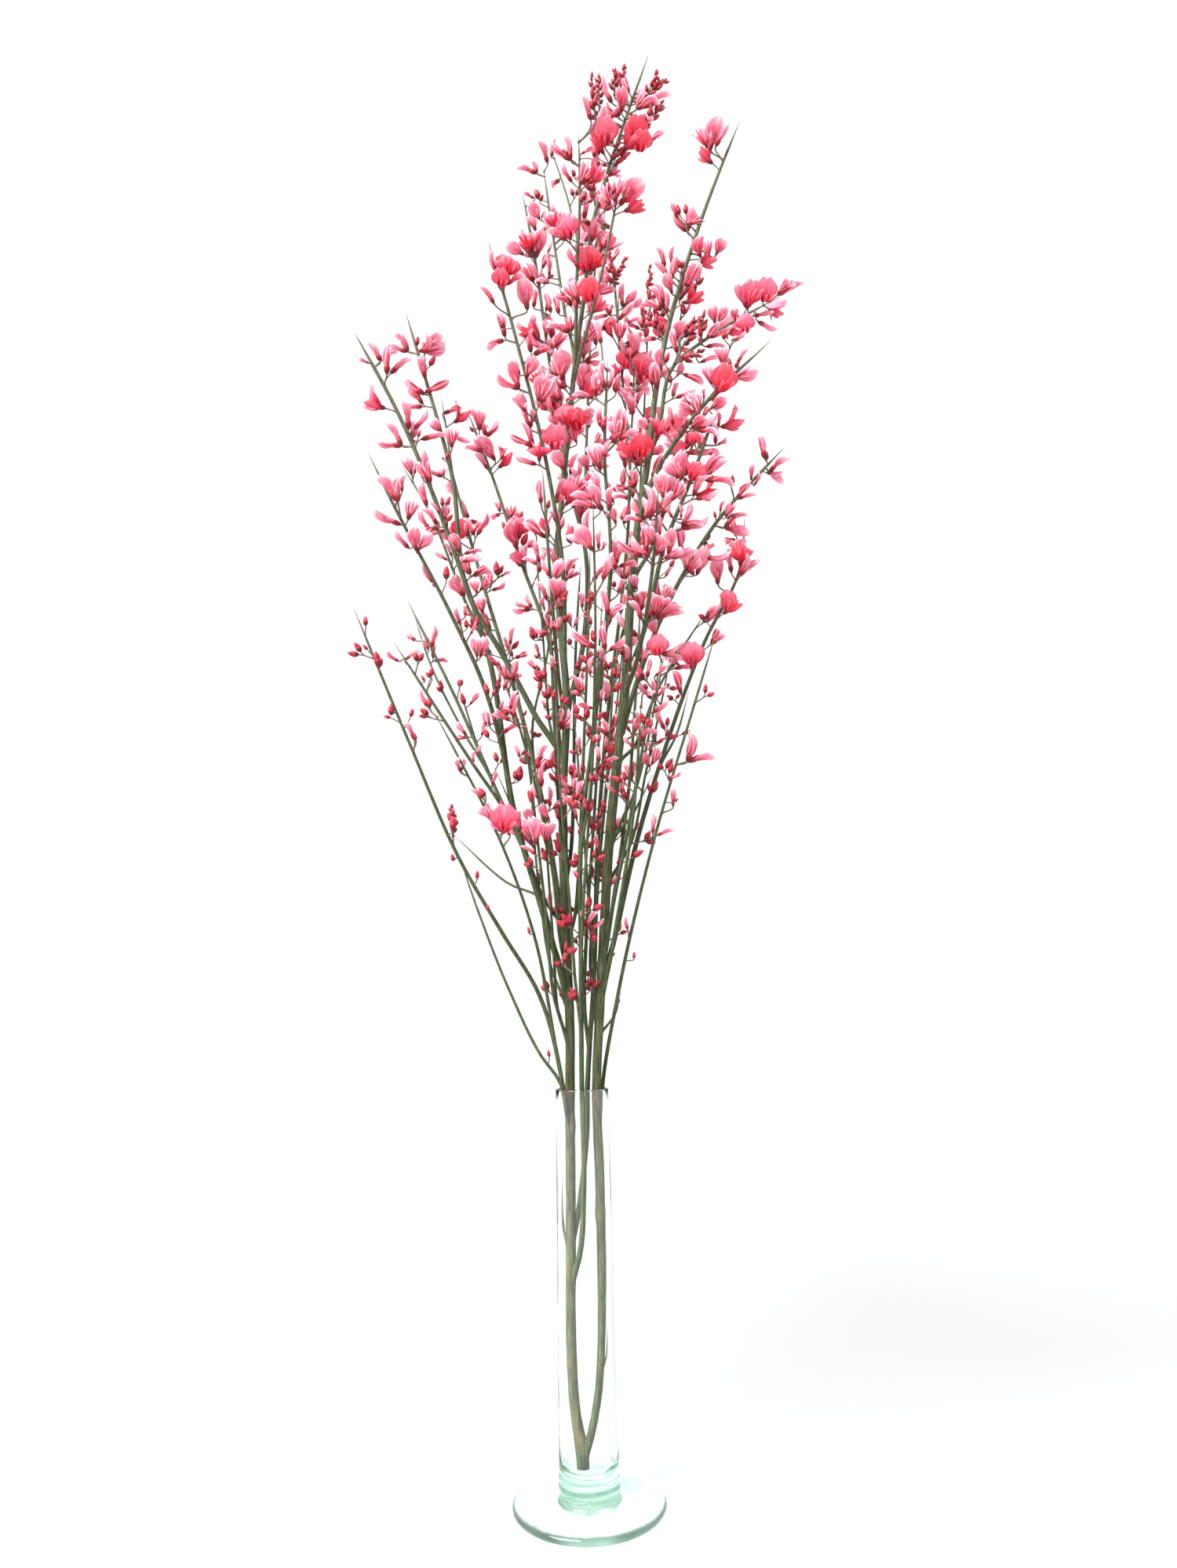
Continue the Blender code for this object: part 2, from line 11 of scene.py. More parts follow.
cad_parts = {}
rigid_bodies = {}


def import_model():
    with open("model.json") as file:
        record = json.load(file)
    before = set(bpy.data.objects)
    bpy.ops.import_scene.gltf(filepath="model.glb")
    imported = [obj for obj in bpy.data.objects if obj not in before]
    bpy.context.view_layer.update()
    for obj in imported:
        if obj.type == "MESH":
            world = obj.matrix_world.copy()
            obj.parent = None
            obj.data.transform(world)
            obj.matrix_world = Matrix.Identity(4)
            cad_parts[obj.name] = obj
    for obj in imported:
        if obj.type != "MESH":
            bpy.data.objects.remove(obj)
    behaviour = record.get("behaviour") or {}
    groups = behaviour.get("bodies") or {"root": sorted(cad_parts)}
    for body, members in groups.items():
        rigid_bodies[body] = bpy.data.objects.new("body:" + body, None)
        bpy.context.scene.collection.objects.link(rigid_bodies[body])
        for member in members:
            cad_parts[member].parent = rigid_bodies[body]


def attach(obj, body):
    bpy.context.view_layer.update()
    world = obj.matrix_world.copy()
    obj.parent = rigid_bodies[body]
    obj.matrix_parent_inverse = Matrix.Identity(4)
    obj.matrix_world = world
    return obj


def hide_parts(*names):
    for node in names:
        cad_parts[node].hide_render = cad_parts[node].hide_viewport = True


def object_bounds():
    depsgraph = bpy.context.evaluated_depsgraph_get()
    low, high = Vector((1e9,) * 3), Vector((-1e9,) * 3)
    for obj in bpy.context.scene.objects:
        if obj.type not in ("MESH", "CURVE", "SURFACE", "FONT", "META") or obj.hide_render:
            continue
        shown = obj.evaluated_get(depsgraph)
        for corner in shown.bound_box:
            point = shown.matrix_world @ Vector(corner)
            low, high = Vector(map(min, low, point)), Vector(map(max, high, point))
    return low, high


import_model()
cad_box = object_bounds()

MM = 0.001

# Vase, in metres, as in the CAD
VASE_HEIGHT = 0.200
RIM_RADIUS = 0.01425
RIM_WALL = 0.0012
BASE_RADIUS = 0.0152
BASE_WALL = 0.0015
FLOOR_HEIGHT = 0.0165
FLOOR_ROUNDING = 0.006
COLLAR_RADIUS = 0.0160
COLLAR_HEIGHT = 0.0062
FOOT_RADIUS = 0.0385
FOOT_EDGE = 0.0038
FOOT_NECK_RADIUS = 0.019
FOOT_NECK_HEIGHT = 0.0046

# Branch, in metres
STEP = 0.006
TIP = 0.024

# The two stems: centre line and radius (x, y, z, r) in millimetres, from the cut end up.
LEFT_STEM = [
    (-3.0, 0, 16.8, 3.1),
    (-3.4, 0, 25, 3.3),
    (-4.8, -0.3, 33, 2.7),
    (-6.2, -0.6, 41, 2.5),
    (-7.3, -1, 54, 2.4),
    (-8, -1, 84, 2.5),
    (-7.5, 0, 117, 2.6),
    (-7, 1, 156, 2.6),
    (-6.5, 1, 200, 2.5),
    (-6, 1, 237, 2.5),
    (-7, 2, 267, 2.5),
    (-8, 5, 315, 2.5),
    (-8, 10, 367, 2.4),
    (-5, 14, 426, 2.1),
    (-8, 16, 473, 1.9),
    (-10, 16, 515, 1.7),
    (-6, 14, 557, 1.6),
    (0, 10, 610, 1.5),
    (5, 6, 655, 1.4),
    (12, 2, 702, 1.3),
    (17, 0, 745, 1.2),
    (29, 0, 791, 1.1),
    (44, 0, 839, 0.9),
    (60, 0, 888, 0.7),
]
RIGHT_STEM = [
    (-3.0, 0, 19, 2.3),
    (-1.6, -0.4, 25, 2.1),
    (1.2, -0.6, 33, 1.9),
    (4.4, -1, 46, 1.8),
    (7.4, -1, 72, 1.9),
    (8.5, -1, 102, 2.2),
    (8.5, -1, 148, 2.4),
    (8, -1, 200, 2.4),
    (11, -4, 245, 2.4),
    (14, -6, 283, 2.5),
    (18, -10, 331, 2.6),
    (24, -12, 380, 2.6),
    (30, -14, 426, 2.6),
    (34, -16, 474, 2.4),
    (40, -18, 523, 2.1),
    (48, -18, 569, 1.8),
    (54, -16, 613, 1.6),
    (62, -14, 653, 1.4),
    (75, -12, 700, 1.2),
    (91, -10, 749, 1.1),
    (104, -8, 785, 0.9),
    (119, -6, 824, 0.7),
]

# Twigs: name, the twig it grows on, fork height, base radius, and the points that its centre
# line passes on the way to its tip, all in millimetres.
TWIGS = [
    ("front_stem", "left_stem", 95, 1.4, [(-2, -5, 122), (0, -6, 148), (0, -6, 201),
     (1, -14, 270), (2, -24, 324), (15, -46, 420), (22, -60, 485), (20, -70, 538), (23, -76, 592)]),
    ("back_stem", "left_stem", 113, 1.4, [(-2, 2, 143), (2, 3, 175), (3, 3, 200),
     (8, 12, 260), (12, 27, 340), (21, 42, 429), (33, 54, 515), (41, 64, 607), (38, 71, 685),
     (34, 80, 792)]),
    ("left_whisker", "left_stem", 140, 1.0, [(-9.5, 2.3, 192), (-11.5, 2.9, 202), (-22, 4, 217),
     (-39, 8, 251), (-57, 14, 295), (-70, 18, 331)]),
    ("left_low", "left_stem", 165, 1.2, [(-10, -4.6, 200), (-22, -12, 250), (-41, -22, 283),
     (-61, -30, 318), (-90, -40, 386), (-121, -46, 462)]),
    ("left_slant", "left_stem", 280, 1.2, [(-21, 0, 306), (-38, -6, 348), (-60, -10, 382),
     (-104, -18, 452)]),
    ("left_cross", "left_slant", 300, 0.8, [(-42, 16, 315), (-75, 24, 346)]),
    ("left_pair_long", "left_stem", 228, 1.4, [(-13, 8, 270), (-26, 20, 318), (-50, 32, 375),
     (-76, 42, 436), (-110, 52, 508)]),
    ("left_pair_short", "left_pair_long", 378, 1.0, [(-72, 44, 416), (-95, 54, 465),
     (-107, 60, 501)]),
    ("left_spur", "left_pair_long", 396, 0.8, [(-69, 50, 426), (-78, 60, 455)]),
    ("left_front", "left_low", 216, 1.1, [(-24, -24, 282), (-39, -40, 327), (-61, -56, 373),
     (-74, -62, 398)]),
    ("left_high", "left_stem", 237, 1.8, [(-18, -4, 288), (-35, -10, 350), (-49, -16, 442),
     (-69, -20, 507), (-107, -24, 605), (-131, -26, 652)]),
    ("left_stub", "left_high", 345, 0.8, [(-45, -20, 375)]),
    ("left_mid", "left_high", 368, 1.3, [(-51, -28, 422), (-68, -38, 460), (-101, -52, 525),
     (-113, -56, 551)]),
    ("left_mid_spur", "left_high", 440, 1.0, [(-66, -4, 486), (-90, 10, 551), (-109, 16, 587)]),
    ("left_top", "left_stem", 379, 1.7, [(-25, 14, 417), (-44, 18, 456), (-63, 20, 491),
     (-78, 26, 585), (-98, 30, 663), (-111, 32, 710)]),
    ("left_top_spur", "left_top", 552, 0.9, [(-82, 40, 613), (-89, 50, 658)]),
    ("left_back", "left_stem", 265, 1.6, [(-12, 12, 307), (-25, 34, 385), (-39, 48, 443),
     (-63, 64, 530), (-92, 78, 642)]),
    ("curved_back", "left_back", 385, 0.9, [(-28, 50, 417), (-18, 64, 475), (-13, 76, 561)]),
    ("inner_left_back", "left_stem", 367, 1.4, [(-10, 18, 398), (-16, 31, 470), (-33, 40, 526),
     (-55, 48, 600), (-71, 52, 648)]),
    ("inner_left_high", "left_stem", 436, 1.4, [(-6, -2, 510), (-14, -18, 565),
     (-31, -34, 640), (-47, -42, 702)]),
    ("inner_left_front", "left_stem", 396, 1.2, [(-9, -14, 432), (-12, -40, 483),
     (-15, -54, 542)]),
    ("inner_left_stub", "inner_left_front", 469, 0.7, [(-8, -48, 496)]),
    ("top_left_back", "left_stem", 406, 1.5, [(6, 22, 465), (9, 33, 525), (-4, 39, 595),
     (-15, 48, 695), (-25, 56, 785), (-32, 60, 832)]),
    ("top_left", "left_stem", 642, 1.1, [(-2, 19, 700), (-9, 34, 770), (-16, 46, 843)]),
    ("top_front", "left_stem", 640, 1.2, [(7, -14, 700), (10, -26, 754), (10, -32, 790)]),
    ("top_left_spur", "top_front", 710, 0.9, [(4, -6, 754), (-9, 10, 822)]),
    ("top_back", "top_left_back", 533, 1.2, [(10, 50, 599), (15, 68, 704), (26, 86, 855)]),
    ("top_right_back", "left_stem", 685, 1.0, [(17, 15, 735), (29, 28, 791)]),
    ("top_right_front", "left_stem", 630, 1.1, [(14, -14, 665), (23, -26, 693), (36, -42, 747)]),
    ("back_spur", "back_stem", 715, 0.9, [(37, 84, 748), (39, 92, 781)]),
    ("front_short", "front_stem", 379, 1.1, [(12, -56, 421), (13, -80, 508)]),
    ("back_mid", "back_stem", 545, 1.0, [(40, 44, 600), (46, 30, 687)]),
    ("back_right", "back_stem", 440, 1.2, [(39, 64, 514), (52, 87, 645), (62, 100, 770)]),
    ("right_stem_spur", "right_stem", 628, 0.8, [(61, -4, 655), (59, 8, 685)]),
    ("right_top", "right_stem", 559, 1.3, [(54, -22, 582), (65, -30, 622), (86, -36, 636),
     (129, -44, 657)]),
    ("right_top_spur", "right_top", 622, 0.9, [(70, -12, 655), (76, 0, 693)]),
    ("right_high", "right_stem", 512, 1.5, [(48, -31, 542), (77, -52, 578), (116, -66, 610)]),
    ("right_high_spur", "right_high", 589, 0.9, [(92, -52, 606), (100, -46, 631)]),
    ("right_upper", "right_stem", 417, 1.5, [(43, -28, 459), (53, -36, 498), (71, -44, 540),
     (88, -52, 584)]),
    ("right_upper_back", "right_stem", 479, 1.3, [(49, 4, 518), (67, 26, 573), (91, 44, 629)]),
    ("right_front_short", "right_stem", 412, 1.3, [(36, -36, 432), (45, -66, 479),
     (48, -80, 515)]),
    ("right_wide", "right_stem", 375, 1.6, [(39, 2, 436), (60, 10, 487), (90, 18, 539),
     (141, 28, 600)]),
    ("right_low", "right_stem", 241, 1.5, [(22, 4, 288), (36, 12, 341), (55, 20, 397),
     (82, 28, 465), (109, 34, 520), (114, 38, 555)]),
    ("right_low_spur", "right_low", 377, 0.9, [(63, 34, 408), (73, 46, 440)]),
    ("right_whisker", "right_stem", 155, 1.1, [(11, 3.4, 199), (21, -4, 250),
     (42, -22, 330), (67, -36, 406), (80, -42, 445)]),
    ("right_back", "right_stem", 371, 1.1, [(36, 14, 396), (52, 36, 437), (88, 58, 498)]),
    ("right_back_short", "right_stem", 316, 1.1, [(37, 30, 375), (60, 68, 472)]),
    ("right_stub", "right_stem", 324, 0.9, [(34, 14, 355), (47, 26, 381)]),
    ("right_front_low", "right_stem", 232, 1.2, [(19, -16, 278), (31, -34, 344),
     (37, -48, 406)]),
    ("low_right_spur", "right_stem", 224, 0.8, [(20, 6, 240), (23, 12, 251)]),
    ("dead_left", "left_stem", 112, 0.8, [(-11, 1, 128), (-11.5, 2, 157)]),
    ("dead_right", "right_stem", 58, 0.8, [(10, 0, 68), (11, 0, 84)]),
]
# Thin twigs in the thick of the branch: name, the twig it grows on, fork height and base radius in
# millimetres, and where it shows: two pixels of the photograph, and its depth Y in millimetres.
THIN_TWIGS = [
    ("thin_a", "left_stem", 212, 1.0, [(704, 1260, -8), (697, 1180, -14), (686, 1080, -18),
     (672, 960, -22), (655, 850, -26)]),
    ("thin_b", "left_stem", 232, 0.9, [(700, 1225, 14), (689, 1150, 20), (680, 1060, 26),
     (676, 960, 34)]),
    ("thin_c", "left_stem", 272, 1.1, [(733, 1165, 4), (738, 1100, -4), (742, 1000, -10),
     (746, 900, -16), (750, 790, -22), (752, 700, -28)]),
    ("thin_d", "front_stem", 215, 1.0, [(740, 1260, -16), (742, 1180, -20), (748, 1080, -26),
     (754, 1000, -32), (757, 900, -40), (759, 820, -46)]),
    ("thin_e", "back_stem", 215, 1.2, [(745, 1290, 8), (748, 1180, 14), (756, 1060, 22),
     (762, 960, 28), (768, 860, 36), (777, 760, 44), (784, 680, 50)]),
    ("thin_f", "right_stem", 214, 1.1, [(757, 1260, 4), (760, 1160, 8), (768, 1050, 12),
     (776, 960, 16), (781, 880, 20), (790, 800, 24)]),
    ("thin_g", "right_stem", 246, 1.2, [(780, 1160, 2), (792, 1080, 6), (802, 1000, 8),
     (808, 920, 12), (813, 840, 14), (816, 760, 16)]),
    ("thin_h", "right_stem", 262, 1.1, [(784, 1140, -14), (800, 1060, -20), (814, 980, -26),
     (830, 900, -30), (846, 830, -34)]),
    ("thin_i", "left_stem", 330, 1.0, [(712, 1030, -8), (709, 980, -14), (705, 900, -20),
     (702, 820, -24), (698, 740, -28)]),
    ("thin_j", "left_stem", 300, 1.2, [(728, 1080, 12), (731, 1000, 18), (732, 900, 22),
     (734, 820, 26), (740, 720, 30)]),
    ("thin_k", "front_stem", 320, 0.9, [(752, 1010, -36), (757, 930, -44), (762, 850, -50),
     (768, 760, -56)]),
    ("thin_l", "left_stem", 372, 0.9, [(700, 920, 22), (694, 840, 28), (688, 760, 32),
     (682, 690, 36)]),
    ("thin_m", "left_stem", 218, 0.9, [(711, 1290, -3), (706, 1220, -8), (700, 1130, -12),
     (693, 1040, -16), (684, 950, -20)]),
    ("thin_n", "front_stem", 222, 0.9, [(732, 1240, -14), (726, 1150, -18), (718, 1060, -22),
     (712, 970, -26), (708, 890, -30)]),
    ("thin_o", "right_stem", 212, 1.0, [(760, 1290, -3), (754, 1200, -8), (746, 1090, -14),
     (738, 990, -20), (732, 910, -24)]),
    ("thin_p", "right_stem", 226, 1.0, [(768, 1250, 8), (774, 1170, 14), (779, 1080, 20),
     (786, 990, 24), (790, 900, 28)]),
    ("thin_q", "left_stem", 256, 1.0, [(714, 1200, -8), (704, 1110, -16), (684, 1010, -24),
     (660, 920, -30), (634, 840, -34)]),
    ("thin_r", "right_stem", 302, 0.9, [(806, 1070, 2), (822, 990, 8), (842, 900, 14),
     (856, 830, 18)]),
    ("thin_s", "back_stem", 246, 0.9, [(752, 1230, 16), (762, 1120, 24), (774, 1000, 34),
     (787, 890, 42), (797, 790, 50)]),
]

# Flowers: kind, the twig that carries it, height in millimetres, and bearing in degrees
# round the twig, where 0 is +X and 90 is +Y.
FLOWERS = [
    ("open_flower", "right_stem", 783, 180),
    ("flower_pair", "right_stem", 728, 180),
    ("open_flower", "right_stem", 706, 0),
    ("flower_pair", "right_stem", 690, 190),
    ("open_flower", "right_stem", 674, -20),
    ("bud_shoot", "right_stem", 652, 170),
    ("open_flower", "right_stem", 560, 190),
    ("flower_pair", "left_stem", 832, 170),
    ("flower_pair", "left_stem", 838, -20),
    ("bud_shoot", "left_stem", 818, 10),
    ("open_flower", "left_stem", 804, -30),
    ("open_flower", "left_stem", 797, 215),
    ("flower_pair", "left_stem", 812, 150),
    ("flower_pair", "left_stem", 770, 190),
    ("open_flower", "top_right_front", 724, 0),
    ("open_flower", "top_front", 752, -20),
    ("flower_pair", "top_front", 768, 190),
    ("flower_pair", "top_left", 832, 185),
    ("open_flower", "top_left_back", 768, -110),
    ("open_flower", "top_left", 765, -80),
    ("open_flower", "left_stem", 708, -55),
    ("open_flower", "left_stem", 680, -30),
    ("open_flower", "inner_left_high", 668, -60),
    ("open_flower", "top_left_back", 695, 200),
    ("open_flower", "top_left_back", 652, 220),
    ("open_flower", "left_stem", 598, -90),
    ("flower_pair", "inner_left_high", 606, 190),
    ("flower_pair", "inner_left_high", 572, 190),
    ("open_flower", "inner_left_back", 596, 0),
    ("flower_pair", "inner_left_back", 622, 10),
    ("open_flower", "inner_left_back", 538, -60),
    ("open_flower", "left_stem", 548, -60),
    ("open_flower", "left_stem", 622, -20),
    ("open_flower", "back_stem", 706, -20),
    ("open_flower", "back_mid", 652, -60),
    ("open_flower", "right_top", 640, 100),
    ("open_flower", "right_top", 646, -90),
    ("open_flower", "right_top", 652, 70),
    ("flower_pair", "right_top", 654, -60),
    ("open_flower", "right_high", 582, -60),
    ("open_flower", "right_high", 560, 110),
    ("open_flower", "right_upper", 566, 10),
    ("open_flower", "right_upper", 528, 20),
    ("flower_pair", "right_upper", 508, 0),
    ("flower_pair", "right_wide", 584, 60),
    ("flower_pair", "right_wide", 540, 20),
    ("open_flower", "right_low", 512, -100),
    ("open_flower", "right_low", 480, -60),
    ("open_flower", "right_low", 440, -100),
    ("flower_pair", "right_whisker", 372, 20),
    ("flower_pair", "left_high", 628, 20),
    ("open_flower", "left_high", 598, 200),
    ("flower_pair", "left_high", 575, 170),
    ("flower_pair", "left_top", 678, 180),
    ("flower_pair", "left_top", 650, -90),
    ("open_flower", "left_top_spur", 630, 0),
    ("open_flower", "left_front", 330, -60),
    ("bud_shoot", "left_low", 330, 60),
]


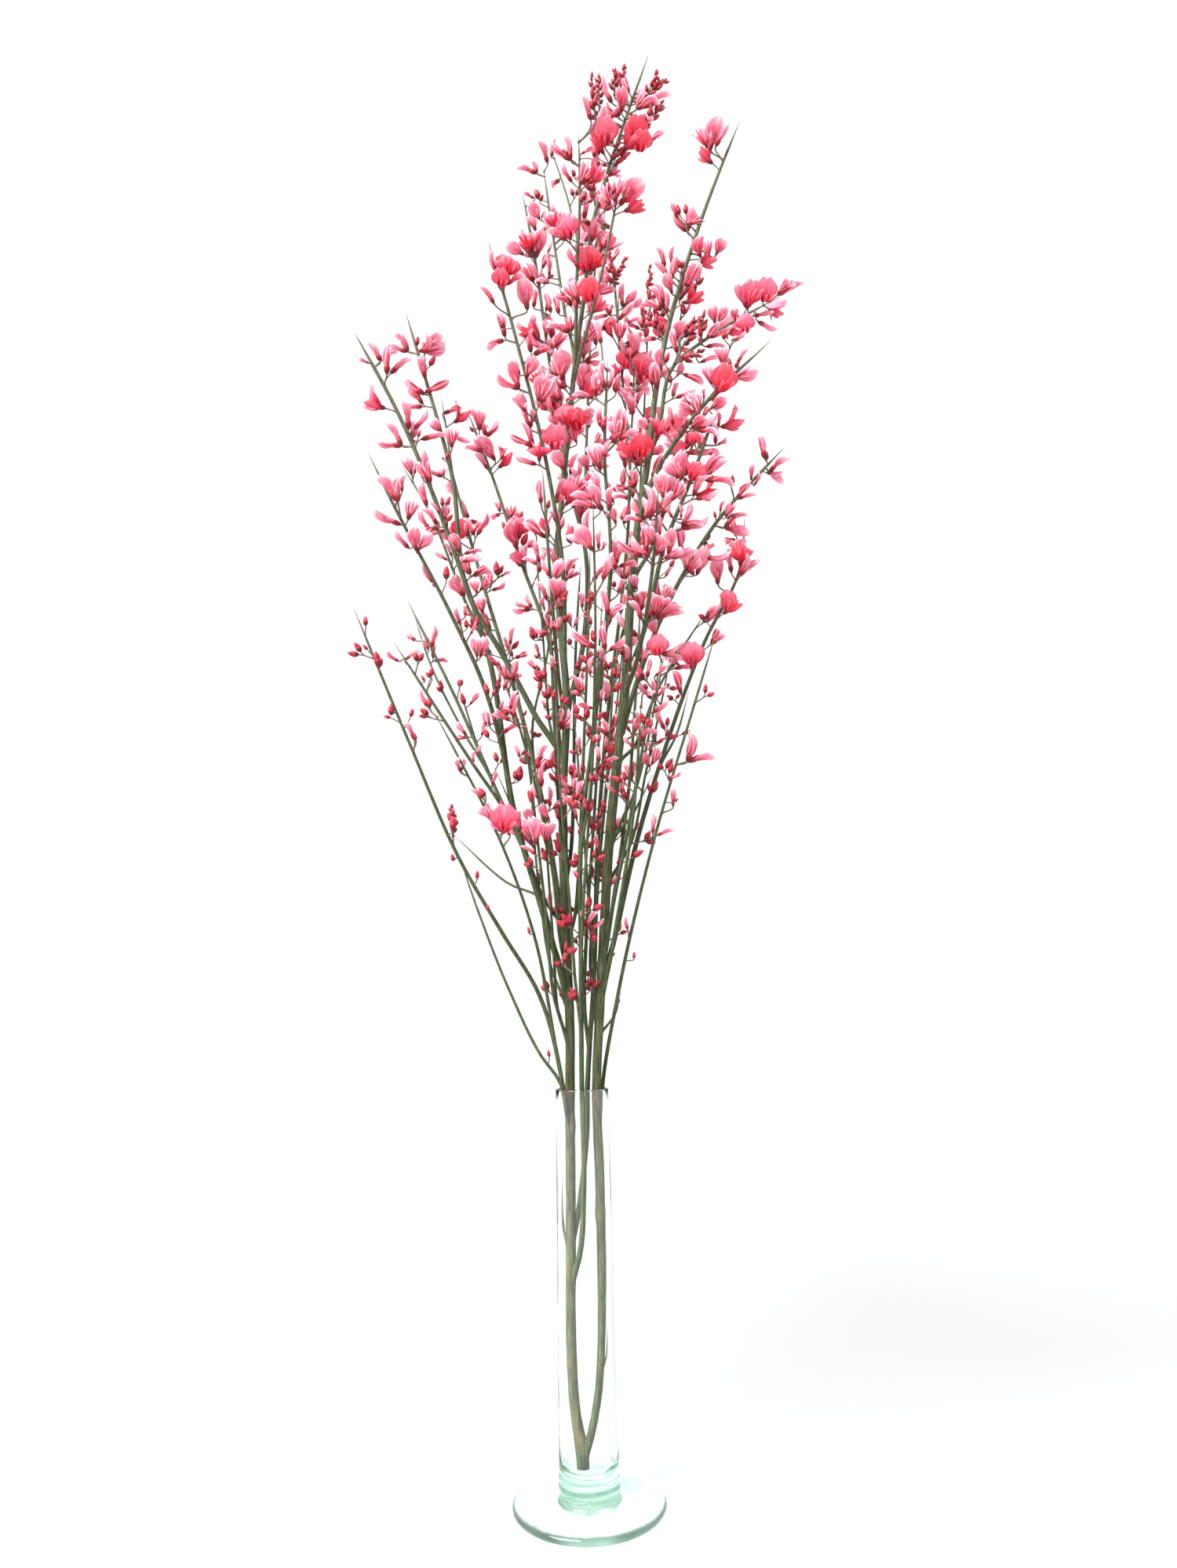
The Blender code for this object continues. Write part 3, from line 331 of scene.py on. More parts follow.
# Flowers that the photograph shows one by one, read off: kind, then the pixels where its
# foot and its tip show. c is closed, h half open, o open towards the camera, b a bud and r a shoot
# of buds. A capital is a redder one. Each is seated on the twig that it grows from.
SEEN = """
c 470 463 457 457, c 493 477 494 429, c 498 476 521 453, b 531 440 533 428, h 534 448 567 438
b 548 466 554 454, c 541 503 512 482, c 542 500 573 486, c 521 547 517 510, c 528 547 547 526
b 533 557 535 549, c 537 560 567 552, c 565 527 589 519, h 562 552 548 532, c 574 555 599 564
b 569 586 572 576, b 566 586 563 583, h 525 606 517 580, c 528 604 531 588, c 539 610 541 575
c 505 634 482 607, c 512 627 513 605, h 520 663 528 632, c 511 669 476 655, c 521 699 501 677
h 530 702 525 678, h 531 702 550 683, c 544 645 535 617, c 547 675 532 652, b 557 676 559 665
b 564 645 563 634, b 569 645 573 634, c 560 655 553 641, b 570 664 578 655, c 567 662 572 645
h 585 705 577 680, c 595 685 593 668, c 603 680 611 663, c 576 709 568 692, c 592 706 613 699
c 570 714 555 705, c 582 721 608 708, c 590 716 614 712, b 569 738 568 722, h 611 549 612 519
h 631 587 610 556, c 638 585 646 570, b 603 550 598 543, h 659 700 646 665, b 662 663 655 652
b 662 662 665 650, b 666 695 672 675, h 668 698 686 690, c 683 682 676 660, b 644 675 641 665
b 664 722 657 716, b 634 733 630 714, b 637 731 640 720, c 638 735 650 728, b 642 418 636 408
b 669 430 672 421, c 662 478 654 455, h 670 483 683 452, c 674 545 667 517, c 676 546 680 522
r 759 152 754 100, r 764 142 763 100, c 753 153 744 122, c 780 131 765 105, r 783 122 784 92
r 788 118 795 87, H 792 143 794 112, c 802 118 793 96, c 810 132 818 112, r 824 125 836 97
r 832 120 846 104, c 822 132 852 114, r 823 163 830 135, r 828 155 843 132, o 770 186 768 150
O 808 178 808 148, O 815 192 818 165, c 825 182 846 167, c 778 152 789 134, c 698 208 690 179
c 703 200 704 177, c 741 196 757 187, b 758 200 757 188, b 762 198 763 187, r 781 214 788 186
r 790 207 801 186, b 773 211 765 209, c 729 232 714 211, b 732 225 730 215, h 739 235 762 207
h 778 262 762 238, h 783 257 790 222, h 790 262 811 230, b 775 245 776 232, b 782 248 784 234
b 744 255 746 242, b 742 258 738 248, b 750 258 757 254, c 681 253 667 245, b 686 253 683 238
b 688 256 693 248, H 688 280 678 262, b 692 280 696 268, h 718 306 703 277, o 727 304 727 273
b 716 300 713 287, h 677 328 668 285, h 684 328 690 287, h 668 325 648 312, b 673 312 676 300
C 698 322 704 308, O 752 345 750 312, O 755 382 752 350, h 738 385 718 347, c 738 342 722 318
r 782 352 797 332, r 778 362 790 345, c 781 332 790 316, c 688 365 676 335, b 694 362 690 348
c 700 352 700 328, b 698 355 706 350, o 636 366 634 340, c 645 363 667 348, H 672 395 668 362
c 680 392 684 365, c 702 398 694 370, c 712 400 706 372, b 722 385 716 374, b 728 390 722 378
c 735 395 728 370, c 778 402 765 382, H 690 437 672 415, H 696 430 697 405, C 695 446 668 430
H 705 445 720 420, b 703 430 705 413, o 700 520 703 484, h 716 485 720 445, h 712 480 695 462
h 745 500 738 462, h 748 490 742 445, h 750 498 762 465, H 760 440 752 408, c 766 438 760 410
H 772 440 775 405, H 790 437 790 406, C 798 437 818 432, c 788 408 806 388, c 798 412 816 404
O 795 470 795 442, c 770 495 762 462, c 776 495 783 470, b 785 500 782 488, o 820 487 822 450
c 830 485 856 468, c 810 500 828 485, c 863 450 855 420, r 824 438 818 402, b 840 408 833 395
b 843 405 848 392, b 842 462 838 448, b 848 462 852 450, O 737 548 733 516, h 715 545 700 520
o 705 572 705 537, H 735 565 728 548, c 722 510 735 505, c 750 545 752 515, b 768 545 762 530
b 768 548 772 533, c 787 560 778 525, c 790 560 793 520, h 765 600 757 562, c 770 585 775 560
O 815 582 815 550, H 812 570 790 590, H 830 580 845 572, b 832 572 830 563, b 845 552 840 540
b 850 550 853 540, c 848 548 833 532, h 718 600 708 578, c 727 605 730 580, c 735 615 740 592
h 750 600 742 580, b 755 582 750 572, c 757 594 755 572, O 733 640 730 614, H 740 660 745 618
c 742 665 733 640, h 765 650 755 618, b 768 650 763 640, C 778 650 775 622, b 782 640 775 632
b 808 622 800 612, b 810 620 806 608, b 698 648 700 637, c 708 665 702 650, h 785 668 778 645
c 795 668 800 640, c 822 663 803 640, c 828 662 833 620, h 755 702 738 675, c 763 700 762 675
c 768 700 772 690, b 728 692 722 675, b 732 688 730 670, c 828 710 802 690, h 836 708 850 680
c 845 700 860 675, h 832 695 825 668, c 700 735 690 715, h 705 740 715 715, c 722 740 730 725
b 785 725 780 712, b 803 722 801 710, c 848 735 857 720, c 936 435 951 425, c 966 410 990 423
B 923 432 922 420, c 900 442 923 438, h 922 468 920 438, h 907 490 899 462, c 893 462 914 452
c 871 477 896 486, H 862 480 870 468, b 855 488 853 478, b 931 467 928 456, b 937 468 943 459
c 940 462 951 443, B 915 481 917 470, h 893 522 880 495, h 885 525 858 522, c 880 515 868 507
c 897 508 897 494, H 905 522 918 510, C 915 545 918 525, H 880 547 895 533, H 868 545 880 533
O 885 565 885 548, c 858 542 853 518, c 912 566 911 538, c 915 567 928 559, h 866 612 850 585
H 868 612 867 580, O 880 612 897 590, b 878 602 877 590, H 850 628 868 618, h 845 635 843 608
c 857 660 847 643, c 868 660 868 645, c 868 667 897 663, b 872 662 880 658, c 868 705 866 670
c 884 733 865 702, h 888 733 898 703, H 945 715 938 685, c 932 730 928 700, c 945 700 949 685
h 915 745 912 713, c 941 735 963 715, c 974 584 969 553, b 977 586 977 575, c 957 612 959 592
c 961 619 970 604, b 931 618 926 606, b 932 618 935 605, c 918 652 920 637, b 912 660 910 652
h 925 660 932 640, c 928 660 952 653, h 903 190 890 155, h 906 190 909 152, c 912 187 928 158, h 876 288 895 273
b 866 273 863 262, b 874 272 875 260, c 863 277 855 257, H 893 328 884 302, h 903 328 901 303
h 912 326 921 305, c 847 340 841 312, c 857 337 853 315, r 829 390 828 342, b 868 341 863 330
b 869 342 871 332, r 886 377 889 346, h 857 375 848 350, c 847 385 838 357, h 866 383 881 350
B 843 385 842 371, c 850 400 850 372, b 835 392 830 380, b 820 400 818 389, b 872 400 868 386
c 873 400 881 386, r 868 432 890 408, r 893 438 897 402, r 862 462 893 448, r 871 440 885 420
h 912 414 906 390, h 914 414 925 392, h 937 410 935 393, o 950 423 950 398, C 953 394 938 363
o 972 383 972 352, c 961 403 987 397, b 466 797 465 784, b 468 828 463 822, b 483 850 479 832
b 484 850 487 840, c 508 843 490 833, c 517 841 532 828, h 546 829 540 811, c 550 825 556 797
b 549 862 550 850, b 549 863 541 857, b 541 868 537 862, c 545 901 533 880, b 548 902 546 890
b 498 911 500 897, b 497 915 489 912, c 528 943 519 920, b 530 943 528 935, c 586 983 582 966
c 588 982 593 966, b 592 898 588 885, c 599 898 610 884, b 577 1058 576 1042, h 590 760 575 738
c 592 760 588 740, h 608 757 603 737, H 612 753 625 735, b 626 745 625 736, c 593 785 592 770
b 595 800 593 789, c 600 808 606 796, h 608 838 606 813, h 612 838 618 814, B 632 848 624 837
b 637 848 630 843, c 648 828 642 812, c 650 822 652 799, b 653 827 661 818, b 636 878 634 866
c 637 870 637 855, b 642 878 647 868, b 622 885 618 872, b 628 887 632 878, c 620 925 613 908
c 624 925 620 905, c 614 938 618 920, b 622 940 617 928, c 630 920 627 908, c 650 905 655 880
c 641 910 638 893, c 651 910 646 900, c 640 935 663 918, b 665 928 672 926, b 668 912 671 905
c 662 965 658 950, b 665 962 672 955, b 670 962 676 960, B 661 995 662 970, b 657 993 655 982
c 627 1000 633 985, c 603 972 602 959, c 608 962 613 950, c 616 1018 600 1003, b 618 1015 609 1003
h 627 1045 612 1030, c 629 1042 618 1022, c 640 1060 622 1050, c 650 1065 643 1055
b 641 1030 638 1018, c 685 1018 677 1000, c 690 1003 688 968, b 697 980 703 966, h 664 1058 655 1035
h 678 1078 666 1046, h 684 1076 683 1043, h 680 1052 672 1032, h 695 1075 698 1043
H 700 1045 688 1028, c 697 765 688 740, h 708 765 713 733, b 715 772 722 768, c 694 778 690 762
b 697 783 702 778, h 712 805 708 784, c 702 805 704 785, h 728 798 722 783, c 732 798 736 788
c 742 775 741 753, c 758 826 727 806, b 753 796 751 785, b 758 818 754 802, c 768 820 769 790
c 812 811 783 787, c 818 790 806 763, c 793 778 796 755, h 812 752 806 732, c 828 790 825 760
c 832 785 834 755, h 838 790 843 760, c 845 775 845 748, h 835 810 830 790, o 840 835 840 806
c 843 833 866 828, c 866 848 850 838, c 868 885 861 855, C 835 862 848 850, b 815 870 810 860
b 818 878 812 868, b 815 868 822 862, c 822 882 835 885, c 832 885 833 870, c 838 888 848 876
c 832 908 855 895, c 847 930 835 905, b 850 925 852 914, c 803 933 791 912, c 808 930 810 915
b 810 932 813 922, c 818 945 826 915, c 807 952 793 940, h 828 978 820 962, h 830 975 842 955
b 830 960 828 950, c 800 1020 783 988, b 830 1010 825 1000, b 832 1010 838 996, b 853 985 858 972
c 852 992 867 988, c 858 1028 857 1005, b 860 1022 864 1017, c 832 1062 833 1037, b 828 1065 827 1058
c 838 1065 857 1055, b 697 890 690 880, b 699 890 700 875, b 705 892 707 880, c 695 903 692 892
b 680 815 678 800, b 684 813 682 803, b 688 812 697 806, c 688 838 682 820, b 688 855 683 848
c 703 855 705 835, b 708 848 713 842, C 755 903 738 898, b 737 883 733 872, c 742 880 741 863
b 740 883 745 873, c 765 895 768 878, c 772 895 774 870, c 752 860 752 838, c 757 850 758 830
c 768 845 766 825, c 797 845 803 822, b 793 835 790 822, b 758 948 756 936, b 762 946 765 936
c 740 960 736 938, c 772 960 775 932, b 765 983 760 970, b 768 982 770 970, b 755 997 752 985
b 758 997 760 985, b 742 983 742 973, b 735 960 725 958, b 718 1003 716 987, b 720 1000 722 990
b 706 995 700 985, b 708 997 711 985, b 728 988 727 975, c 712 1045 706 1020, b 713 1043 713 1033
c 735 1045 731 1025, b 748 1033 745 1020, b 751 1035 755 1022, b 735 1020 733 1010
b 740 1023 742 1012, b 728 1063 725 1053, b 738 1063 740 1053, c 785 1057 790 1040
b 765 1055 766 1045, b 577 1097 577 1088, b 608 1120 608 1110, b 622 1160 621 1152
c 800 1185 795 1168, b 808 1222 808 1214, b 700 1347 698 1338, b 715 1270 713 1262
b 675 1190 673 1182, b 788 1266 790 1258
"""

# Flowers that fill the sides and the back: the twig, a stretch of it in millimetres of height,
# and one letter for each cluster from the bottom up, as Bush.cluster reads them
RUNS = [
    ("left_low", 380, 450, "bb"),
    ("left_slant", 400, 440, "bb"),
    ("left_pair_long", 330, 490, "bbcbc"),
    ("left_pair_short", 420, 490, "bc"),
    ("left_high", 430, 600, "bcchc"),
    ("left_mid", 420, 535, "ccc"),
    ("left_top", 440, 690, "bcchcc"),
    ("left_back", 400, 620, "bcchcoch"),
    ("curved_back", 430, 540, "bcch"),
    ("inner_left_back", 430, 630, "bcch"),
    ("inner_left_high", 520, 680, "chcc"),
    ("inner_left_front", 440, 530, "bcc"),
    ("top_left_back", 480, 810, "ccchohcch"),
    ("top_left", 700, 820, "chc"),
    ("top_left_spur", 740, 800, "bc"),
    ("top_back", 590, 840, "cchohchor"),
    ("top_right_back", 720, 780, "chr"),
    ("top_front", 690, 780, "ccb"),
    ("left_stem", 420, 600, "bcbchc"),
    ("left_stem", 600, 860, "chohcohcr"),
    ("front_stem", 380, 580, "bbccbc"),
    ("front_short", 420, 500, "bcc"),
    ("back_stem", 420, 780, "bcbchchohcr"),
    ("back_mid", 590, 680, "chc"),
    ("back_right", 500, 760, "bchcohcr"),
    ("right_stem", 440, 720, "bcbchcohr"),
    ("right_top", 590, 645, "chc"),
    ("right_high", 550, 600, "ch"),
    ("right_upper", 460, 570, "bchc"),
    ("right_upper_back", 520, 620, "chcoh"),
    ("right_wide", 440, 590, "bccbcc"),
    ("right_low", 380, 550, "bbcbcc"),
    ("right_whisker", 350, 440, "bb"),
    ("right_back", 420, 490, "bcc"),
    ("right_back_short", 400, 465, "bbc"),
    ("right_front_short", 440, 510, "bcc"),
    ("right_front_low", 330, 400, "bb"),
    ("thin_a", 300, 410, "bbcb"),
    ("thin_b", 290, 370, "bcb"),
    ("thin_c", 310, 480, "bcbcbc"),
    ("thin_d", 300, 430, "bbcbc"),
    ("thin_e", 270, 490, "bbcbcbc"),
    ("thin_f", 270, 440, "bcbbcb"),
    ("thin_g", 300, 460, "bcbcbc"),
    ("thin_h", 310, 430, "bcbc"),
    ("thin_i", 350, 470, "bcbb"),
    ("thin_j", 320, 480, "bcbcb"),
    ("thin_k", 350, 460, "bbcb"),
    ("thin_l", 400, 490, "bcb"),
    ("left_stem", 330, 420, "bcb"),
    ("right_stem", 330, 440, "bbcb"),
    ("left_stem", 470, 640, "chohchc"),
    ("left_stem", 640, 840, "chohch"),
    ("back_stem", 540, 780, "hcohchoch"),
    ("back_mid", 580, 680, "ohch"),
    ("back_right", 540, 760, "hcohch"),
    ("front_stem", 430, 590, "chchc"),
    ("right_stem", 500, 680, "chohchc"),
    ("inner_left_high", 470, 690, "hcohch"),
    ("inner_left_back", 470, 640, "cohch"),
    ("top_left_back", 540, 800, "chohchc"),
    ("top_back", 600, 820, "hchch"),
    ("right_upper", 450, 570, "hcohc"),
    ("right_upper_back", 500, 620, "hcoh"),
    ("right_wide", 430, 540, "chc"),
    ("right_high", 540, 600, "oh"),
    ("left_back", 470, 620, "hch"),
    ("right_front_short", 440, 510, "hch"),
    ("thin_m", 230, 380, "bbcbcb"),
    ("thin_n", 240, 420, "bcbbcb"),
    ("thin_o", 235, 410, "bbcbcb"),
    ("thin_p", 240, 410, "bbcbcc"),
    ("thin_q", 280, 440, "bcbcc"),
    ("thin_r", 320, 440, "bcbc"),
    ("thin_s", 270, 460, "bbcbcc"),
    ("thin_d", 230, 300, "bb"),
    ("thin_e", 230, 300, "bb"),
    ("front_stem", 230, 400, "bbbcb"),
    ("back_stem", 240, 420, "bbcbb"),
]


# Camera, found from the ellipses of the vase's foot and rim in the photograph
LENS = 22.5
SENSOR = 36.0
PICTURE = (1500, 1999)
FOCAL = LENS / SENSOR * PICTURE[1]
CAMERA = (
    Matrix.Translation((0.0072, -0.555, 0.2451))
    @ Matrix.Rotation(math.pi / 2 + math.radians(12.6), 4, "X")
    @ Matrix.Rotation(-math.atan(0.02193), 4, "Z")
)
TO_CAMERA = CAMERA.inverted()


def pixel_of(point):
    """Where a point shows in the picture, and how far it is along the camera's axis."""
    seen = TO_CAMERA @ point
    x = PICTURE[0] / 2 + FOCAL * seen.x / -seen.z
    y = PICTURE[1] / 2 - FOCAL * seen.y / -seen.z
    return x, y, -seen.z


def point_at(x, y, depth):
    """The point that shows at a pixel, at a depth along the camera's axis."""
    across = (x - PICTURE[0] / 2) / FOCAL * depth
    up = (PICTURE[1] / 2 - y) / FOCAL * depth
    return CAMERA @ Vector((across, up, -depth))


def ramp(value, low, high):
    share = min(max((value - low) / (high - low), 0.0), 1.0)
    return share * share * (3 - 2 * share)


# Lines of the branch


def smooth_path(points, lead):
    """Points a step apart on a smooth curve through the given ones, leaving along lead."""
    gaps = [(b - a).length for a, b in zip(points, points[1:])]
    chords = [(b - a) / gap for a, b, gap in zip(points, points[1:], gaps)]
    slopes = [lead]
    for i in range(1, len(chords)):
        weight = gaps[i - 1] / (gaps[i - 1] + gaps[i])
        slopes.append(chords[i - 1].lerp(chords[i], weight))
    slopes.append(chords[-1])
    path = [points[0]]
    for i, gap in enumerate(gaps):
        count = max(1, round(gap / STEP))
        for k in range(1, count + 1):
            t = k / count
            path.append(
                (2 * t**3 - 3 * t**2 + 1) * points[i]
                + (t**3 - 2 * t**2 + t) * gap * slopes[i]
                + (3 * t**2 - 2 * t**3) * points[i + 1]
                + (t**3 - t**2) * gap * slopes[i + 1]
            )
    return path


def lengths_of(path):
    lengths = [0.0]
    for a, b in zip(path, path[1:]):
        lengths.append(lengths[-1] + (b - a).length)
    return lengths


def pointed(path, radii):
    """The same radii, drawn in to a point over the last stretch."""
    lengths = lengths_of(path)
    sharp = [max(0.12, min(1.0, (lengths[-1] - s) / TIP) ** 0.75) for s in lengths]
    return path, [r * share for r, share in zip(radii, sharp)]


def stem_line(rows):
    points = [Vector(row[:3]) * MM for row in rows]
    path = smooth_path(points, (points[1] - points[0]).normalized())
    radii = []
    for point in path:
        row = next((i for i in range(1, len(rows)) if point.z <= rows[i][2] * MM), len(rows) - 1)
        low, high = rows[row - 1], rows[row]
        share = (point.z / MM - low[2]) / (high[2] - low[2])
        radii.append((low[3] + (high[3] - low[3]) * min(max(share, 0.0), 1.0)) * MM)
    return pointed(path, radii)


def at_height(line, height):
    """Centre, radius and direction of a line where it passes a height."""
    path, radii = line
    for i in range(1, len(path)):
        if path[i].z >= height:
            break
    share = (height - path[i - 1].z) / (path[i].z - path[i - 1].z)
    centre = path[i - 1].lerp(path[i], share)
    radius = radii[i - 1] + (radii[i] - radii[i - 1]) * share
    return centre, radius, (path[i] - path[i - 1]).normalized()


def twig_line(parent_line, fork_height, base_radius, points):
    """A twig's centre line and radii. It starts on its parent's centre line."""
    base, parent_radius, direction = at_height(parent_line, fork_height)
    path = smooth_path([base] + points, direction)
    largest = min(base_radius, 0.85 * parent_radius)
    lengths = lengths_of(path)
    radii = []
    for s in lengths:
        collar = 0.45 * math.exp(-(((s - parent_radius) / (1.6 * parent_radius)) ** 2))
        radii.append(largest * (1 - 0.45 * s / lengths[-1]) * (1 + collar * ramp(s, 0, 0.002)))
    radii[0] = min(radii[0], 0.9 * parent_radius)
    return pointed(path, radii)


def on_plane(x, y, depth):
    """The point that shows at a pixel, on the upright plane at a depth Y in millimetres."""
    way = point_at(x, y, 1.0) - CAMERA.translation
    return CAMERA.translation + way * (depth * MM - CAMERA.translation.y) / way.y


def all_lines():
    lines = {"left_stem": stem_line(LEFT_STEM), "right_stem": stem_line(RIGHT_STEM)}
    for name, parent, height, radius, points in TWIGS:
        route = [Vector(point) * MM for point in points]
        lines[name] = twig_line(lines[parent], height * MM, radius * MM, route)
    for name, parent, height, radius, places in THIN_TWIGS:
        route = [on_plane(*place) for place in places]
        lines[name] = twig_line(lines[parent], height * MM, radius * MM, route)
    return lines


# Branch mesh


def frames_along(path):
    """Two unit vectors across the line at each of its points, turning as little as they can."""
    side = Vector((1.0, 0.0, 0.0))
    frames = []
    for i in range(len(path)):
        ahead = (path[min(i + 1, len(path) - 1)] - path[max(i - 1, 0)]).normalized()
        side = (side - side.dot(ahead) * ahead).normalized()
        frames.append((side.copy(), ahead.cross(side)))
    return frames


def ridged_tube(name, path, radii, ridges, draw):
    """A closed ridged tube round a line, with node rings and one-sided scars on thick parts.
    Returns the object, and for each vertex how ridged, how old and how near a tip it is."""
    lengths = lengths_of(path)
    knots = []
    s = draw.uniform(0.006, 0.02)
    while s < lengths[-1] - TIP:
        knots.append((s, draw.uniform(0, 2 * math.pi), draw.uniform(0.5, 1.0)))
        s += draw.uniform(0.016, 0.034)
    count = 2 * ridges
    turn = draw.uniform(-3.0, 3.0)
    verts, marks = [], []
    for centre, radius, s, (side, across) in zip(path, radii, lengths, frames_along(path)):
        old = ramp(radius, 0.0017, 0.0027) * (0.35 + 0.65 * ramp(centre.z, 0.40, 0.16))
        near_tip = ramp(s, lengths[-1] - 0.05, lengths[-1])
        depth = 0.045 + 0.045 * ramp(radius, 0.0006, 0.0013) - 0.045 * old
        for k in range(count):
            angle = 2 * math.pi * k / count + turn * s
            bump = 0.0
            for at, bearing, size in knots:
                near = math.exp(-(((s - at) / 0.0022) ** 2))
                if near > 0.02:
                    facing = max(0.0, math.cos(angle - bearing)) ** 2
                    bump += near * size * (0.05 + 0.16 * facing) * (0.6 + 0.9 * old)
            rough = 0.07 * old * noise.noise(Vector((s * 260, 2.2 * math.cos(angle), 2.2 * math.sin(angle))))
            ridge = 1 if k % 2 == 0 else -1
            size = radius * (1 + ridge * depth + bump + rough)
            verts.append(centre + size * (math.cos(angle) * side + math.sin(angle) * across))
            marks.append((0.5 + 0.5 * ridge, old, near_tip, min(bump * 5, 1.0)))
    faces = []
    for i in range(len(path) - 1):
        low = i * count
        for k in range(count):
            m = (k + 1) % count
            faces.append((low + k, low + m, low + count + m, low + count + k))
    faces.append(tuple(range(count))[::-1])
    faces.append(tuple(range(len(verts) - count, len(verts))))
    mesh = bpy.data.meshes.new(name)
    mesh.from_pydata(verts, [], faces)
    return bpy.data.objects.new(name, mesh), verts, marks


def make_branch(lines):
    """Both stems and every twig, joined into one closed ridged body."""
    draw = random.Random(5)
    grown = bpy.data.collections.new("grown")
    bpy.context.scene.collection.children.link(grown)
    all_verts, all_marks = [], []
    for name, (path, radii) in lines.items():
        ridges = 9 if name.endswith("_stem") and name[0] in "lr" else 7
        form, verts, marks = ridged_tube(name + "_form", path, radii, ridges, draw)
        all_verts += verts
        all_marks += marks
        if name == "left_stem":
            bpy.context.scene.collection.objects.link(form)
            base = form
        else:
            grown.objects.link(form)
    join = base.modifiers.new("twigs", "BOOLEAN")
    join.operation = "UNION"
    join.solver = "EXACT"
    join.operand_type = "COLLECTION"
    join.collection = grown
    bpy.context.view_layer.update()
    grown_whole = base.evaluated_get(bpy.context.evaluated_depsgraph_get())
    mesh = bpy.data.meshes.new_from_object(grown_whole)
    mesh.name = "grown_branch"
    for form in list(grown.objects) + [base]:
        bpy.data.objects.remove(form, do_unlink=True)
    bpy.data.collections.remove(grown)
    tree = KDTree(len(all_verts))
    for i, place in enumerate(all_verts):
        tree.insert(place, i)
    tree.balance()
    found = [all_marks[tree.find(v.co)[1]] for v in mesh.vertices]
    for k, label in enumerate(("ridge", "old", "tip", "knot")):
        layer = mesh.attributes.new(label, "FLOAT", "POINT")
        layer.data.foreach_set("value", [row[k] for row in found])
    mesh.shade_smooth()
    branch = bpy.data.objects.new("grown_branch", mesh)
    bpy.context.scene.collection.objects.link(branch)
    return branch


# Flowers. A flower's own axes are a, the way it points, b, the side of its standing petal,
# and c across. Shapes are arrays of points (a, b, c) in millimetres.


def turned(path, sizes, sides):
    """Rings round a line in the a-b plane, with half sizes (in the plane, across) at each point."""
    path = np.array(path, float)
    ahead = np.gradient(path, axis=0)
    ahead /= np.linalg.norm(ahead, axis=1)[:, None]
    rings = []
    for (a, b), (da, db), (high, wide) in zip(path, ahead, sizes):
        angle = 2 * math.pi * np.arange(sides) / sides
        up, out = np.cos(angle) * high, np.sin(angle) * wide
        rings.append(np.stack([a - db * up, b + da * up, out], 1))
    return np.array(rings)


def sheet_faces(rows, columns, offset):
    return [
        (
            offset + i * columns + k,
            offset + i * columns + k + 1,
            offset + (i + 1) * columns + k + 1,
            offset + (i + 1) * columns + k,
        )
        for i in range(rows - 1)
        for k in range(columns - 1)
    ]


def thick_sheet(middle, thickness):
    """A closed shell round a grid of points: its vertices and faces."""
    rows, columns = middle.shape[:2]
    normal = np.cross(np.gradient(middle, axis=0), np.gradient(middle, axis=1))
    normal /= np.linalg.norm(normal, axis=2)[:, :, None] + 1e-12
    offset = normal * thickness[:, :, None] / 2
    verts = np.concatenate([(middle + offset).reshape(-1, 3), (middle - offset).reshape(-1, 3)])
    count = rows * columns
    faces = [face[::-1] for face in sheet_faces(rows, columns, 0)]
    faces += sheet_faces(rows, columns, count)
    rim = [k for k in range(columns)]
    rim += [i * columns + columns - 1 for i in range(1, rows)]
    rim += [(rows - 1) * columns + k for k in range(columns - 2, -1, -1)]
    rim += [i * columns for i in range(rows - 2, 0, -1)]
    for a, b in zip(rim, rim[1:] + rim[:1]):
        faces.append((a, b, count + b, count + a))
    return verts, faces


class Petals:
    """One piece's mesh while it is put together, with what its material reads."""

    LABELS = ("along", "across", "part", "tone")

    def __init__(self):
        self.verts, self.faces, self.marks, self.count = [], [], [], 0

    def add(self, verts, faces, along, across, part, tone):
        """Adds a shell. along, across and part are one number each or one for each vertex."""
        size = len(verts)
        marks = np.zeros((size, 4))
        marks[:, 0], marks[:, 1], marks[:, 2], marks[:, 3] = along, across, part, tone
        self.verts.append(np.asarray(verts, float))
        self.marks.append(marks)
        self.faces += [tuple(i + self.count for i in face) for face in faces]
        self.count += size

    def add_rings(self, rings, along, part, tone):
        """Adds a closed tube of rings, rounded off at both ends by flat caps."""
        steps, sides = rings.shape[:2]
        faces = []
        for i in range(steps - 1):
            for k in range(sides):
                m = (k + 1) % sides
                faces.append(
                    (i * sides + k, i * sides + m, (i + 1) * sides + m, (i + 1) * sides + k)
                )
        faces.append(tuple(range(sides))[::-1])
        faces.append(tuple(range((steps - 1) * sides, steps * sides)))
        across = np.tile(np.cos(2 * math.pi * np.arange(sides) / sides), steps)
        self.add(rings.reshape(-1, 3), faces, np.repeat(along, sides), across, part, tone)

    def make(self, name, finish):
        mesh = bpy.data.meshes.new(name)
        mesh.from_pydata(np.concatenate(self.verts).tolist(), [], self.faces)
        marks = np.concatenate(self.marks).astype(np.float32)
        for k, label in enumerate(self.LABELS):
            mesh.attributes.new(label, "FLOAT", "POINT").data.foreach_set("value", marks[:, k])
        mesh.materials.append(finish)
        form = bmesh.new()
        form.from_mesh(mesh)
        bmesh.ops.recalc_face_normals(form, faces=form.faces)
        form.to_mesh(mesh)
        form.free()
        mesh.shade_smooth()
        piece = bpy.data.objects.new(name, mesh)
        bpy.context.scene.collection.objects.link(piece)
        return piece


STALK, GREEN_CUP, PETAL = 0.0, 0.5, 1.0


